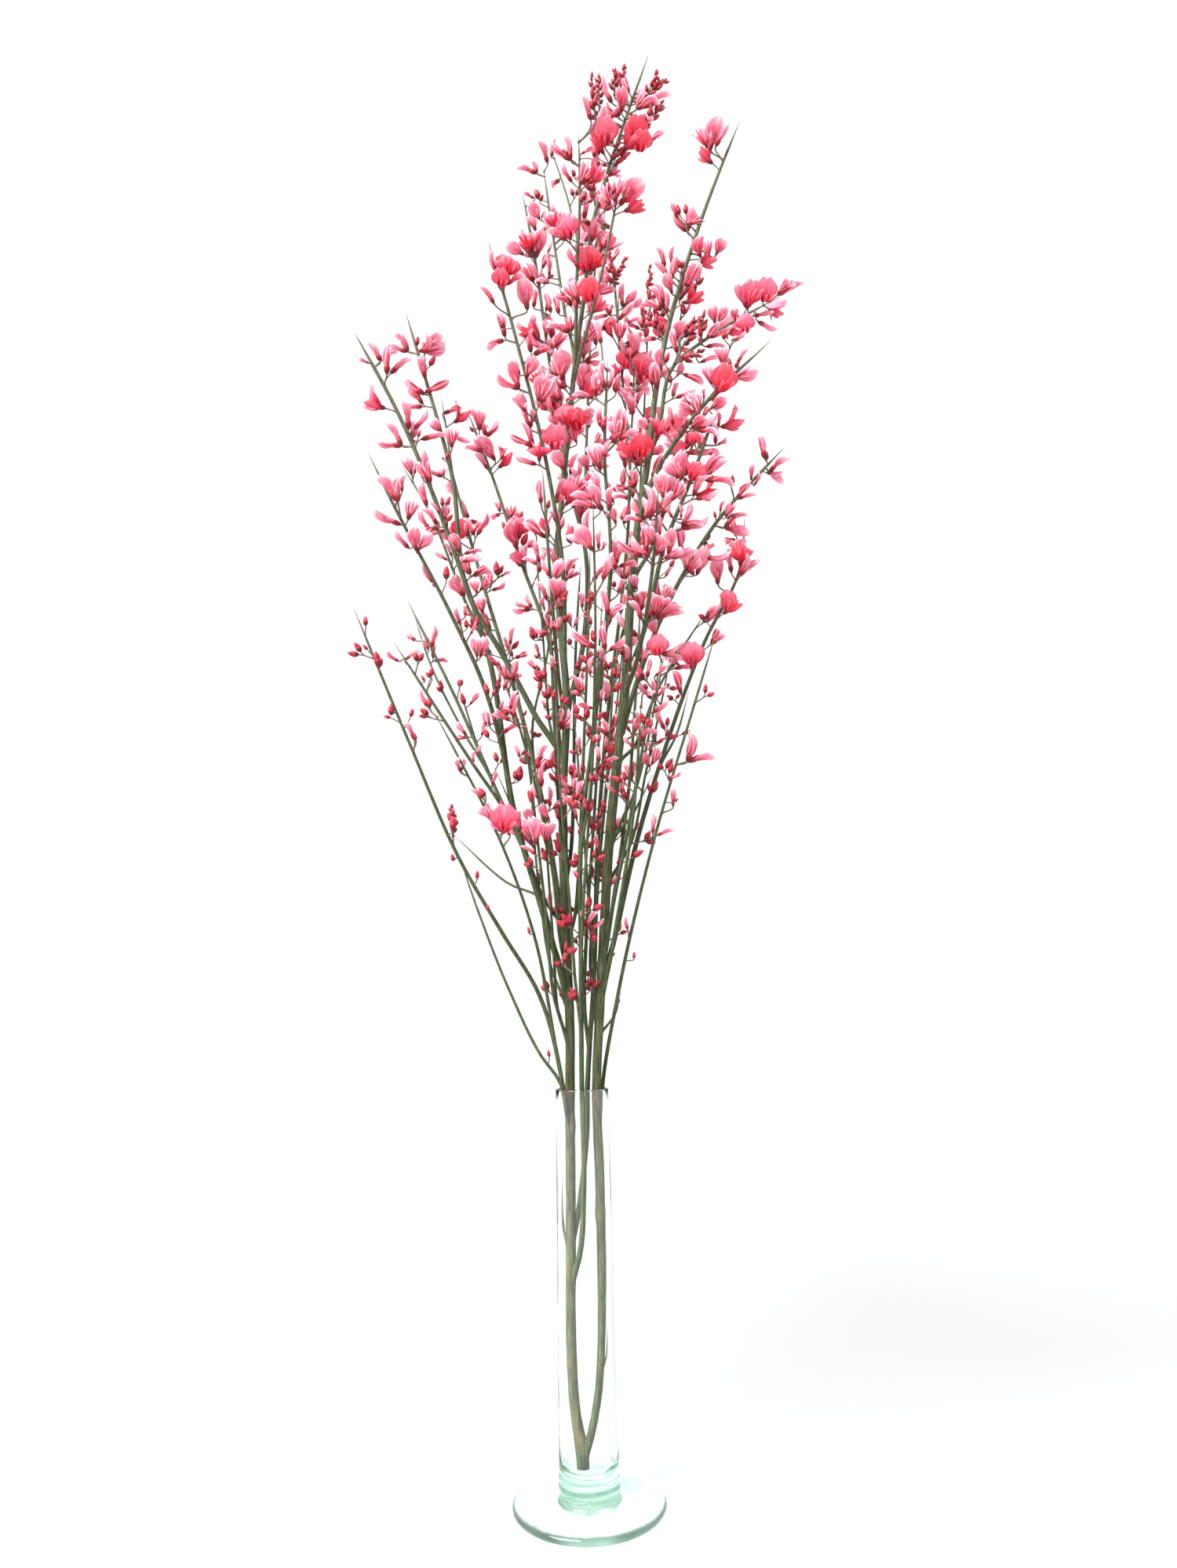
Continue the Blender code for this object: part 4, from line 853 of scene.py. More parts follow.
def stalk_between(petals, start, start_way, end, end_way, radii, tone):
    """A thin curved stalk from the twig to a flower, in world coordinates."""
    reach = (end - start).length
    points = []
    for i in range(7):
        t = i / 6
        points.append(
            (2 * t**3 - 3 * t**2 + 1) * start
            + (t**3 - 2 * t**2 + t) * reach * start_way
            + (3 * t**2 - 2 * t**3) * end
            + (t**3 - t**2) * reach * end_way
        )
    rings = []
    for i, (centre, (side, across)) in enumerate(zip(points, frames_along(points))):
        t = i / 6
        radius = radii[0] + (radii[1] - radii[0]) * t
        radius *= 1 + 0.8 * math.exp(-((t / 0.12) ** 2)) + 0.35 * math.exp(-(((t - 1) / 0.15) ** 2))
        angle = 2 * math.pi * np.arange(6) / 6
        ring = [centre + radius * (math.cos(g) * side + math.sin(g) * across) for g in angle]
        rings.append([list(p) for p in ring])
    petals.add_rings(np.array(rings), np.linspace(0, 1, 7), STALK, tone)


def banner(draw, opened, size):
    """The standing petal: folded over the others when closed, spread and lifted when open."""
    rows, columns = (12, 15) if opened > 0.6 else (9, 9)
    half = (3.6 + 5.2 * opened) * size * draw.uniform(0.93, 1.07)
    length = (13.4 + 2.4 * opened) * size * draw.uniform(0.95, 1.06)
    lift = math.radians(2 + 84 * opened**1.15 + draw.uniform(-6, 6))
    arch = (1 - opened) * draw.uniform(0.1, 0.8)
    fold = math.radians(70 - 84 * opened**0.8)
    notch = 0.07 + 0.10 * math.exp(-(((opened - 0.42) / 0.16) ** 2)) + 0.05 * opened
    fullest = 1.4 - 0.5 * opened
    ruffle = 0.12 * opened + 0.03
    phase = draw.uniform(0, 2 * math.pi)
    lean = draw.uniform(-0.5, 0.5) * ruffle
    v = np.linspace(0, 1, rows)
    u = np.linspace(-1, 1, columns)
    u = np.sign(u) * np.abs(u) ** 1.15
    grid = np.zeros((rows, columns, 3))
    for i, share in enumerate(v):
        wide = half * math.sin(math.pi * (0.045 + (0.89 - 0.10 * opened) * share**fullest)) ** 0.62
        for k, side in enumerate(u):
            split = notch * share**3 * math.exp(-((side / 0.25) ** 2))
            drawn_in = (0.10 + 0.14 * opened) * abs(side) ** 2.6 * share
            reach = share * (1 - drawn_in) - split
            steps = np.linspace(0, reach, 9)
            turn = lift * np.clip(steps / 0.5, 0, 1) ** 1.3 * (1 - 0.12 * np.clip(steps - 0.5, 0, 1))
            turn = turn + arch * (steps - 0.25) + 0.35 * opened * np.clip(steps - 0.7, 0, 1)
            a = np.trapz(np.cos(turn), steps) * length
            b = np.trapz(np.sin(turn), steps) * length
            angle = fold * (0.75 + 0.25 * share) * (0.55 + 0.45 * abs(side))
            out = abs(side) * wide
            front = out * math.sin(angle)
            front += ruffle * half * abs(side) ** 2 * share * (
                math.sin(9.0 * share + phase + 2.6 * side) + 2 * lean * side
            )
            last = float(turn[-1])
            grid[i, k] = (
                a + math.sin(last) * front,
                b - math.cos(last) * front,
                math.copysign(1, side) * out * math.cos(angle),
            )
    grid[:, :, 0] += 0.4
    grid[:, :, 1] += 1.5 * (1 - 0.5 * opened) * size
    edge = np.maximum(np.abs(u)[None, :] ** 5, v[:, None] ** 8)
    verts, faces = thick_sheet(grid, 0.34 - 0.22 * edge)
    along = np.tile(np.repeat(v, columns), 2)
    across = np.tile(np.tile(u, rows), 2)
    return verts, faces, along, across


def wing(draw, opened, size, side):
    """One of the two side petals, cupped round the keel."""
    rows, columns = 7, 5
    length = (10.6 + 1.2 * opened) * size * draw.uniform(0.92, 1.06)
    spread = math.radians(4 + 26 * opened * draw.uniform(0.6, 1.3))
    drop = math.radians(-6 + 16 * opened * draw.uniform(-0.4, 1.0))
    grid = np.zeros((rows, columns, 3))
    for i, share in enumerate(np.linspace(0, 1, rows)):
        high = 2.3 * size * math.sin(math.pi * (0.06 + 0.81 * share**0.8)) ** 0.7
        for k, up in enumerate(np.linspace(-1, 1, columns)):
            reach = share * length * (1 - 0.12 * up * up * share)
            out = 1.25 * size * math.sin(math.pi * min(share * 1.2, 1) * 0.6) * (1 - 0.55 * up * up)
            grid[i, k] = (
                reach * math.cos(spread) * math.cos(drop),
                up * high - reach * math.sin(drop) * 0.6,
                side * (0.5 + out + reach * math.sin(spread) * 0.55),
            )
    edge = np.abs(np.linspace(-1, 1, columns))[None, :] ** 4 * np.ones((rows, 1))
    verts, faces = thick_sheet(grid, 0.30 - 0.16 * edge)
    along = np.tile(np.repeat(np.linspace(0, 1, rows), columns), 2)
    across = np.tile(np.tile(np.linspace(-1, 1, columns), rows), 2)
    return verts, faces, along, across


def keel(draw, opened, size):
    """The boat-shaped lower petals: a slim closed body that turns up at its end."""
    length = (11.6 - 0.8 * opened) * size * draw.uniform(0.95, 1.05)
    share = np.array([0.0, 0.14, 0.34, 0.56, 0.76, 0.92, 1.0])
    high = np.array([0.8, 1.45, 1.8, 1.8, 1.5, 0.9, 0.3]) * size
    wide = np.array([0.7, 1.05, 1.2, 1.2, 1.0, 0.55, 0.2]) * size
    path = np.stack([share * length, (0.9 * share**2.2 - 0.2) * size], 1)
    return turned(path, np.stack([high, wide], 1), 8), share


def calyx(draw, size):
    """The two-lipped cup that the petals stand in."""
    length = 4.3 * size * draw.uniform(0.9, 1.15)
    share = np.array([0.0, 0.2, 0.5, 0.8, 1.0])
    girth = np.array([0.5, 1.1, 1.5, 1.6, 1.45]) * size
    path = np.stack([share * length, 0 * share], 1)
    rings = turned(path, np.stack([girth * 1.08, girth], 1), 8)
    lips = 0.55 * size * np.abs(np.cos(2 * math.pi * np.arange(8) / 8)) ** 2
    rings[-1, :, 0] += lips
    rings[-2, :, 0] += lips * 0.3
    return rings, share, length


def add_flower(petals, draw, base, axis, up, opened, size, tone):
    """A whole flower without its stalk: base is the calyx's foot, axis and up are unit vectors."""
    up = (up - up.dot(axis) * axis).normalized()
    across = axis.cross(up)
    turn = np.array([axis, up, across])
    place = np.array(base)

    def put(shape):
        return np.asarray(shape) @ turn * MM + place

    rings, share, length = calyx(draw, size)
    petals.add_rings(put(rings), share, GREEN_CUP, tone)
    start = np.array([0.62 * length, 0, 0])
    rings, share = keel(draw, opened, size)
    petals.add_rings(put(rings + start), 0.12 + 0.55 * share, PETAL, min(tone + 0.25, 1))
    if opened > 0.25:
        for side in (-1, 1):
            verts, faces, along, across_it = wing(draw, opened, size, side)
            deep = min(tone + 0.12, 1)
            petals.add(put(verts + start), faces, 0.05 + 0.8 * along, across_it, PETAL, deep)
    verts, faces, along, across_it = banner(draw, opened, size)
    petals.add(put(verts + start), faces, along, across_it, PETAL, tone)


def add_bud(petals, draw, base, axis, up, size, tone):
    """A closed bud: a short cup with a pointed red tear standing in it."""
    up = (up - up.dot(axis) * axis).normalized()
    turn = np.array([axis, up, axis.cross(up)])
    length = 5.6 * size * draw.uniform(0.9, 1.15)
    share = np.array([0.0, 0.12, 0.3, 0.5, 0.7, 0.88, 1.0])
    girth = np.array([0.4, 0.85, 1.22, 1.3, 1.08, 0.56, 0.12]) * size
    bend = draw.uniform(0.2, 0.9) * size
    path = np.stack([share * length, bend * share**2], 1)
    rings = turned(path, np.stack([girth * 1.12, girth], 1), 8) @ turn * MM + np.array(base)
    petals.add_rings(rings, 0.05 + 0.75 * share, PETAL, tone)
    cup = np.array([0.0, 0.25, 0.6, 1.0])
    girth = np.array([0.42, 1.0, 1.38, 1.40]) * size
    path = np.stack([cup * 0.46 * length - 0.15 * size, bend * (cup * 0.46) ** 2], 1)
    rings = turned(path, np.stack([girth * 1.12, girth], 1), 8)
    rings[-1, :, 0] += 0.5 * size * np.abs(np.cos(2 * math.pi * np.arange(8) / 8))
    petals.add_rings(rings @ turn * MM + np.array(base), cup, GREEN_CUP, tone)


# Where the flowers are

PEDICEL = 0.006
SEAT_GAP = 0.0003
PEDICEL_RADIUS = 0.0005
STALK_RADIUS = 0.00038

REGIONS = {
    "left_low": "left_whisker left_low left_front left_slant left_cross left_pair_long left_pair_short left_spur thin_a thin_b thin_m thin_q",
    "left_high": "left_high left_stub left_mid left_mid_spur left_top left_top_spur left_back curved_back",
    "inner_left": "inner_left_back inner_left_high inner_left_front inner_left_stub thin_i thin_l",
    "top": "top_left_back top_left top_front top_left_spur top_back top_right_back top_right_front",
    "middle": "left_stem front_stem front_short back_stem back_spur back_mid back_right dead_left thin_c thin_d thin_e thin_j thin_k thin_n thin_s",
    "right_stem": "right_stem right_stem_spur right_top right_top_spur right_high right_high_spur dead_right",
    "right_side": "right_upper right_upper_back right_front_short right_wide right_low right_low_spur right_whisker right_back right_back_short right_stub right_front_low low_right_spur thin_f thin_g thin_h thin_o thin_p thin_r",
}
REGION_OF = {twig: region for region, twigs in REGIONS.items() for twig in twigs.split()}
KIND_OF_NODE = {"open_flower": "open", "flower_pair": "closed", "bud_shoot": "buds"}


def out_of_reach(point):
    """Whether a point lies well in front of or behind the CAD model."""
    (_, front, _), (_, back, _) = cad_box
    return not front - 0.007 < point.y < back + 0.007


class Bush:
    """All flowers, gathered into one piece for each region and kind."""

    def __init__(self, lines):
        self.lines = lines
        self.draw = random.Random(11)
        self.petals, self.nodes = {}, {}
        self.seats = []
        self.seen = {
            name: [pixel_of(point) for point in path] for name, (path, radii) in lines.items()
        }

    def piece(self, twig, kind):
        key = (REGION_OF[twig], kind)
        if key not in self.petals:
            self.petals[key] = Petals()
        return self.petals[key]

    def flower(self, twig, seat, out, ahead, base, axis, up, opened, size, tone):
        """One flower with its stalk from the twig. seat is on the twig's surface."""
        if out_of_reach(base + 0.014 * size * axis):
            return
        petals = self.piece(twig, "open" if opened > 0.6 else "closed")
        rise = (0.75 * out + 0.65 * ahead).normalized()
        reach = (base - seat).length
        width = STALK_RADIUS * (1.15 if reach > 0.009 else 1.0)
        stalk_between(petals, seat - 0.0006 * out, rise, base, axis, (width * 1.15, width), tone)
        add_flower(petals, self.draw, base, axis, up, opened, size, tone)

    def bud_piece(self, twig, tip):
        """The buds' piece, or a loose one that isn't kept where the bud would stand too far out."""
        return Petals() if out_of_reach(tip) else self.piece(twig, "buds")

    def bud(self, twig, seat, out, ahead, base, axis, size, tone):
        petals = self.bud_piece(twig, base + 0.006 * size * axis)
        rise = (0.75 * out + 0.65 * ahead).normalized()
        width = STALK_RADIUS * 0.8
        stalk_between(petals, seat - 0.0006 * out, rise, base, axis, (width * 1.2, width), tone)
        up = out if abs(out.dot(axis)) < 0.9 else ahead
        add_bud(petals, self.draw, base, axis, up, size, tone)

    def raceme(self, twig, seat, out, ahead, base, tip, tone, count=None):
        """A short side shoot with buds in two rows, and the last one at its tip."""
        petals, draw = self.bud_piece(twig, tip), self.draw
        rise = (0.75 * out + 0.65 * ahead).normalized()
        axis = (tip - base).normalized()
        length = (tip - base).length
        stalk_between(petals, seat - 0.0006 * out, rise, base, axis, (0.0006, 0.0005), tone)
        stalk_between(petals, base, axis, tip, axis, (0.0005, 0.0003), tone)
        count = count or max(5, round(length / 0.0019))
        hinge = axis.cross(out).normalized()
        for k in range(count):
            share = (k + 0.4) / count
            size = (1.12 - 0.55 * share) * draw.uniform(0.85, 1.15)
            turn = math.radians((42 - 14 * share) * (1 if k % 2 else -1) + draw.uniform(-9, 9))
            way = Matrix.Rotation(turn, 3, hinge) @ axis
            way = Matrix.Rotation(draw.uniform(-1.5, 1.5), 3, axis) @ way
            start = base.lerp(tip, share)
            foot = start + 0.0016 * size * way
            stalk_between(petals, start, way, foot, way, (0.0004, 0.0004), tone)
            add_bud(petals, draw, foot, way, hinge, size, min(max(tone + draw.uniform(-0.3, 0.3), 0), 1))
        add_bud(petals, draw, tip, axis, hinge, 0.6, tone)

    def frame_at(self, twig, height, bearing):
        """A seat on the twig's surface, with its outward and upward directions."""
        centre, radius, ahead = at_height(self.lines[twig], height * MM)
        angle = math.radians(bearing)
        out = Vector((math.cos(angle), math.sin(angle), 0.0))
        out = (out - out.dot(ahead) * ahead).normalized()
        return centre + radius * out, out, ahead

    def from_node(self, node, kind, twig, height, bearing):
        """The detailed form of a CAD flower, in the CAD flower's place."""
        draw = self.draw
        seat, out, ahead = self.frame_at(twig, height, bearing)
        rise = (0.75 * out + 0.65 * ahead).normalized()
        base = seat + (SEAT_GAP + 0.6 * PEDICEL_RADIUS) * out + PEDICEL * rise
        tone = draw.uniform(0.1, 0.9)
        if kind == "open_flower":
            axis = (0.88 * out + 0.47 * ahead).normalized()
            up = Vector((0.0, 0.0, 1.0))
            self.flower(twig, seat, out, ahead, base, axis, up, draw.uniform(0.8, 1.0), 1.0, tone)
        elif kind == "flower_pair":
            middle = (0.5 * out + 0.87 * ahead).normalized()
            hinge = out.cross(ahead).normalized()
            for sign in (-1, 1):
                axis = Matrix.Rotation(sign * math.radians(27), 3, hinge) @ middle
                opened = draw.uniform(0.0, 0.3)
                up = Matrix.Rotation(draw.uniform(0, 2 * math.pi), 3, axis) @ hinge
                self.flower(twig, seat, out, ahead, base, axis, up, opened, 1.0, tone)
        else:
            rise = (0.6 * out + 0.8 * ahead).normalized()
            foot = seat + 0.005 * rise
            self.raceme(twig, seat, out, ahead, foot, foot + 0.019 * rise, tone)
        key = (REGION_OF[twig], KIND_OF_NODE[kind])
        self.nodes.setdefault(key, []).append(node)

    def nearest_twig(self, x, y):
        """The twig point that a flower whose foot shows at a pixel grows from."""
        best = None
        for twig, seen in self.seen.items():
            for i, (px, py, depth) in enumerate(seen[2:-1]):
                cost = math.hypot(px - x, 0.8 * (py - y - 8)) + 60 * (depth - 0.55)
                if best is None or cost < best[0]:
                    best = (cost, twig, i + 2)
        return best[1], best[2]

    def from_picture(self, kind, x0, y0, x1, y1):
        """A flower whose foot and tip show at two pixels, seated on the nearest twig."""
        draw = self.draw
        twig, i = self.nearest_twig(x0, y0)
        path, radii = self.lines[twig]
        depth = self.seen[twig][i][2]
        ahead = (path[i + 1] - path[i - 1]).normalized()
        toward = (CAMERA.translation - path[i]).normalized()
        aside = (x0 - self.seen[twig][i][0]) * depth / FOCAL
        near = draw.uniform(-0.003, 0.003)
        if abs(aside) < 0.003:
            near = draw.uniform(0.003, 0.006)
        base = point_at(x0, y0, depth - near)
        out = base - path[i]
        out = (out - out.dot(ahead) * ahead).normalized()
        seat = path[i] + radii[i] * out
        for old in self.seats:
            if (old[0] - seat).length < 0.004 and old[3] == twig:
                seat, out, ahead, twig = old
        self.seats.append((seat, out, ahead, twig))
        flat = point_at(x1, y1, depth - near) - base
        shown = flat.length
        tone = draw.uniform(0.05, 0.6) + (0.4 if kind.isupper() else 0.0)
        kind = kind.lower()
        side = 1 if draw.random() < 0.6 else -1
        if kind == "o":
            aim = (toward + 0.25 * flat.normalized()).normalized()
            aim = (aim + 0.25 * Vector((draw.uniform(-1, 1), 0, draw.uniform(-0.5, 0.5)))).normalized()
            size = shown / 0.0165
            self.flower(twig, seat, out, ahead, base, aim, flat, draw.uniform(0.85, 1.0), size, tone)
        elif kind == "s":
            size = min(shown / 0.0135, 1.15)
            up = Vector((0, 0, 1)) + 0.4 * toward * draw.uniform(-1, 1)
            aim = flat.normalized()
            self.flower(twig, seat, out, ahead, base, aim, up, draw.uniform(0.7, 0.95), size, tone)
        elif kind in "ch":
            whole = 0.0162
            size = min(1.15, max(0.55, 1.04 * shown / whole))
            tilt = math.acos(min(1.0, shown / (whole * size)))
            aim = flat.normalized() * math.cos(tilt) + side * toward * math.sin(tilt)
            turn = draw.uniform(0, 2 * math.pi)
            opened = draw.uniform(0.0, 0.16)
            if kind == "h":
                opened, turn = draw.uniform(0.3, 0.55), draw.uniform(-0.7, 0.7)
                turn += math.pi * draw.randrange(2)
            up = Matrix.Rotation(turn, 3, aim) @ toward
            self.flower(twig, seat, out, ahead, base, aim, up, opened, size, tone)
        elif kind == "b":
            size = min(1.5, max(0.5, shown / 0.0056))
            aim = (flat.normalized() + 0.3 * toward * draw.uniform(-1, 1)).normalized()
            self.bud(twig, seat, out, ahead, base, aim, size, min(tone + 0.2, 1))
        else:
            tip = point_at(x1, y1, depth - near - draw.uniform(-0.003, 0.003))
            self.raceme(twig, seat, out, ahead, base, tip, min(tone + 0.2, 1))

    def cluster(self, twig, height, bearing, kind):
        """Flowers that share a seat: c closed ones, h half open, o open, b buds, r a raceme."""
        draw = self.draw
        seat, out, ahead = self.frame_at(twig, height, bearing)
        rise = (0.75 * out + 0.65 * ahead).normalized()
        hinge = out.cross(ahead).normalized()
        middle = (0.55 * out + 0.84 * ahead).normalized()
        tone = draw.uniform(0.1, 0.7) + 0.3 * ramp(height, 500, 380)
        fork = seat + draw.uniform(0.004, 0.009) * rise
        if kind == "r":
            tip = fork + draw.uniform(0.014, 0.022) * middle
            self.raceme(twig, seat, out, ahead, fork, tip, min(tone + 0.3, 1))
            return
        count = draw.choice((1, 2, 2, 2, 3)) if kind != "b" else draw.choice((1, 2, 2, 3))
        fan = [0.0] if count == 1 else [-0.5 + k / (count - 1) for k in range(count)]
        size = draw.uniform(0.75, 1.05) * (0.68 + 0.32 * ramp(height, 340, 500))
        for k, share in enumerate(fan):
            angle = math.radians(62 * share + draw.uniform(-8, 8))
            axis = Matrix.Rotation(angle, 3, hinge) @ middle
            axis = Matrix.Rotation(draw.uniform(-0.5, 0.5), 3, out) @ axis
            base = fork + 0.002 * axis
            turn = Matrix.Rotation(draw.uniform(0, 2 * math.pi), 3, axis)
            if kind == "b":
                self.bud(twig, seat, out, ahead, base, axis, draw.uniform(0.7, 1.2), tone + 0.2)
                continue
            opened = draw.uniform(0.0, 0.2)
            if k == count - 1 and kind == "h":
                opened = draw.uniform(0.35, 0.55)
            if k == count - 1 and kind == "o":
                opened = draw.uniform(0.75, 1.0)
            up = Vector((0, 0, 1)) if opened > 0.6 else turn @ hinge
            if abs(up.dot(axis)) > 0.95:
                up = hinge
            self.flower(twig, seat, out, ahead, base, axis, up, opened, size, tone)

    def run(self, twig, low, high, kinds, side=None):
        """Clusters spread over a stretch of a twig, one for each letter."""
        draw = self.draw
        bearing = draw.uniform(0, 360)
        for k, kind in enumerate(kinds):
            height = low + (high - low) * (k + draw.uniform(0.2, 0.8)) / len(kinds)
            bearing += draw.uniform(110, 215)
            at = bearing if side is None else side + draw.uniform(-70, 70)
            self.cluster(twig, height, at, kind)

    def make(self, finishes):
        made = []
        for (region, kind), petals in sorted(self.petals.items()):
            piece = petals.make(f"{kind}_{region}", finishes[kind])
            nodes = self.nodes.get((region, kind), [])
            if nodes:
                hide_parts(*nodes)
            made.append(piece)
        return made


# Materials

# Colours from the foot of a petal to its tip: of the palest flowers, of the reddest ones, and of
# the edge, with how strongly the edge shows
PETAL_COLOURS = {
    "open": (
        [(0.0, (0.50, 0.006, 0.035)), (0.2, (0.78, 0.045, 0.12)), (0.6, (0.91, 0.17, 0.28)),
         (1.0, (0.95, 0.38, 0.48))],
        [(0.0, (0.46, 0.004, 0.02)), (0.25, (0.80, 0.022, 0.055)), (0.7, (0.93, 0.055, 0.085)),
         (1.0, (0.95, 0.16, 0.20))],
        (0.50, 0.012, 0.05),
        0.6,
    ),
    "closed": (
        [(0.0, (0.44, 0.006, 0.03)), (0.18, (0.70, 0.035, 0.10)), (0.42, (0.88, 0.16, 0.27)),
         (0.72, (0.95, 0.40, 0.50)), (1.0, (0.98, 0.82, 0.86))],
        [(0.0, (0.36, 0.004, 0.02)), (0.22, (0.62, 0.018, 0.06)), (0.5, (0.85, 0.085, 0.17)),
         (0.8, (0.93, 0.25, 0.36)), (1.0, (0.96, 0.60, 0.67))],
        (0.97, 0.82, 0.86),
        0.45,
    ),
    "buds": (
        [(0.0, (0.24, 0.004, 0.012)), (0.4, (0.50, 0.015, 0.04)), (0.75, (0.72, 0.09, 0.15)),
         (1.0, (0.92, 0.52, 0.56))],
        [(0.0, (0.13, 0.002, 0.008)), (0.4, (0.30, 0.005, 0.018)), (0.8, (0.48, 0.018, 0.045)),
         (1.0, (0.74, 0.18, 0.22))],
        (0.40, 0.01, 0.02),
        0.3,
    ),
}
CUP_COLOURS = [
    (0.0, (0.085, 0.014, 0.010)), (0.35, (0.20, 0.004, 0.012)), (0.8, (0.36, 0.006, 0.022)),
    (1.0, (0.52, 0.03, 0.05)),
]


def nodes_of(name):
    made = bpy.data.materials.new(name)
    made.use_nodes = True
    return made, made.node_tree.nodes, made.node_tree.links, made.node_tree.nodes["Principled BSDF"]


def attribute(nodes, name):
    node = nodes.new("ShaderNodeAttribute")
    node.attribute_name = name
    return node.outputs["Fac"]


def math_node(nodes, links, kind, a, b):
    node = nodes.new("ShaderNodeMath")
    node.operation = kind
    for socket, value in zip(node.inputs, (a, b)):
        if isinstance(value, (int, float)):
            socket.default_value = value
        else:
            links.new(value, socket)
    return node.outputs[0]


def noise_node(nodes, links, scale, detail, vector=None):
    node = nodes.new("ShaderNodeTexNoise")
    node.inputs["Scale"].default_value = scale
    node.inputs["Detail"].default_value = detail
    if vector is None:
        vector = nodes.new("ShaderNodeTexCoord").outputs["Object"]
    links.new(vector, node.inputs["Vector"])
    return node.outputs["Fac"]


def ramp_node(nodes, links, value, stops):
    node = nodes.new("ShaderNodeValToRGB")
    links.new(value, node.inputs[0])
    marks = node.color_ramp.elements
    while len(marks) < len(stops):
        marks.new(0.5)
    for mark, (at, colour) in zip(marks, stops):
        mark.position = at
        mark.color = (*colour, 1.0)
    return node.outputs["Color"]


def mix_node(nodes, links, share, a, b, kind="MIX"):
    node = nodes.new("ShaderNodeMix")
    node.data_type = "RGBA"
    node.blend_type = kind
    for socket, value in ((node.inputs["Factor"], share), (node.inputs[6], a), (node.inputs[7], b)):
        if isinstance(value, (int, float)):
            socket.default_value = value
        elif isinstance(value, tuple):
            socket.default_value = (*value, 1.0)
        else:
            links.new(value, socket)
    return node.outputs[2]


def spread_node(nodes, links, value, low, high, to_low, to_high):
    node = nodes.new("ShaderNodeMapRange")
    links.new(value, node.inputs["Value"])
    settings = ("From Min", low), ("From Max", high), ("To Min", to_low), ("To Max", to_high)
    for label, number in settings:
        node.inputs[label].default_value = number
    return node.outputs["Result"]


def bump(nodes, links, shader, height, distance, strength):
    node = nodes.new("ShaderNodeBump")
    node.inputs["Distance"].default_value = distance
    node.inputs["Strength"].default_value = strength
    links.new(height, node.inputs["Height"])
    links.new(node.outputs["Normal"], shader.inputs["Normal"])


def petal_finish(name, pale, deep, rim, rim_share):
    """Petals from crimson at the foot to a paler tip, with fine veins, on a dark red cup and a
    grey-pink stalk. pale and deep are the colours that single flowers vary between, from foot to
    tip, and rim is the colour of a petal's edge."""
    made, nodes, links, shader = nodes_of(name)
    along, across = attribute(nodes, "along"), attribute(nodes, "across")
    part, tone = attribute(nodes, "part"), attribute(nodes, "tone")

    def calc(kind, a, b):
        return math_node(nodes, links, kind, a, b)

    def spread(value, low, high, to_low, to_high):
        return spread_node(nodes, links, value, low, high, to_low, to_high)

    def mix(share, a, b, kind="MIX"):
        return mix_node(nodes, links, share, a, b, kind)

    streak = nodes.new("ShaderNodeCombineXYZ")
    links.new(calc("MULTIPLY", across, 9.0), streak.inputs[0])
    links.new(calc("MULTIPLY", along, 1.5), streak.inputs[1])
    links.new(calc("MULTIPLY", tone, 37.0), streak.inputs[2])
    veins = noise_node(nodes, links, 1.0, 3.0, streak.outputs[0])
    patches = noise_node(nodes, links, 260.0, 2.0)
    place = calc("ADD", along, calc("MULTIPLY", calc("SUBTRACT", patches, 0.5), 0.55))
    petal = mix(tone, ramp_node(nodes, links, place, pale), ramp_node(nodes, links, place, deep))
    petal = mix(spread(veins, 0.50, 0.68, 0.0, 0.3), petal, (0.88, 0.30, 0.44), "MULTIPLY")
    # Pale pink streaks between the veins: a painted highlight, laid along the vein pattern
    petal = mix(spread(veins, 0.44, 0.30, 0.0, 0.25), petal, (0.98, 0.70, 0.78))
    edge = calc("MAXIMUM", calc("POWER", calc("ABSOLUTE", across, 0.0), 6.0), calc("POWER", along, 14.0))
    petal = mix(calc("MULTIPLY", edge, rim_share), petal, rim)
    cup = ramp_node(nodes, links, place, CUP_COLOURS)
    stalk = mix(patches, (0.21, 0.10, 0.08), (0.13, 0.13, 0.07))
    base = mix(spread(part, 0.2, 0.3, 0.0, 1.0), stalk, cup)
    links.new(mix(spread(part, 0.7, 0.8, 0.0, 1.0), base, petal), shader.inputs["Base Color"])
    links.new(spread(patches, 0.3, 0.7, 0.46, 0.64), shader.inputs["Roughness"])
    shader.inputs["Specular IOR Level"].default_value = 0.4
    shader.inputs["Subsurface Weight"].default_value = 0.15
    shader.inputs["Subsurface Radius"].default_value = (0.003, 0.0013, 0.0015)
    shader.inputs["Subsurface Scale"].default_value = 1.0
    height = calc("ADD", veins, calc("MULTIPLY", patches, 0.6))
    bump(nodes, links, shader, height, 0.0003, 0.35)
    return made


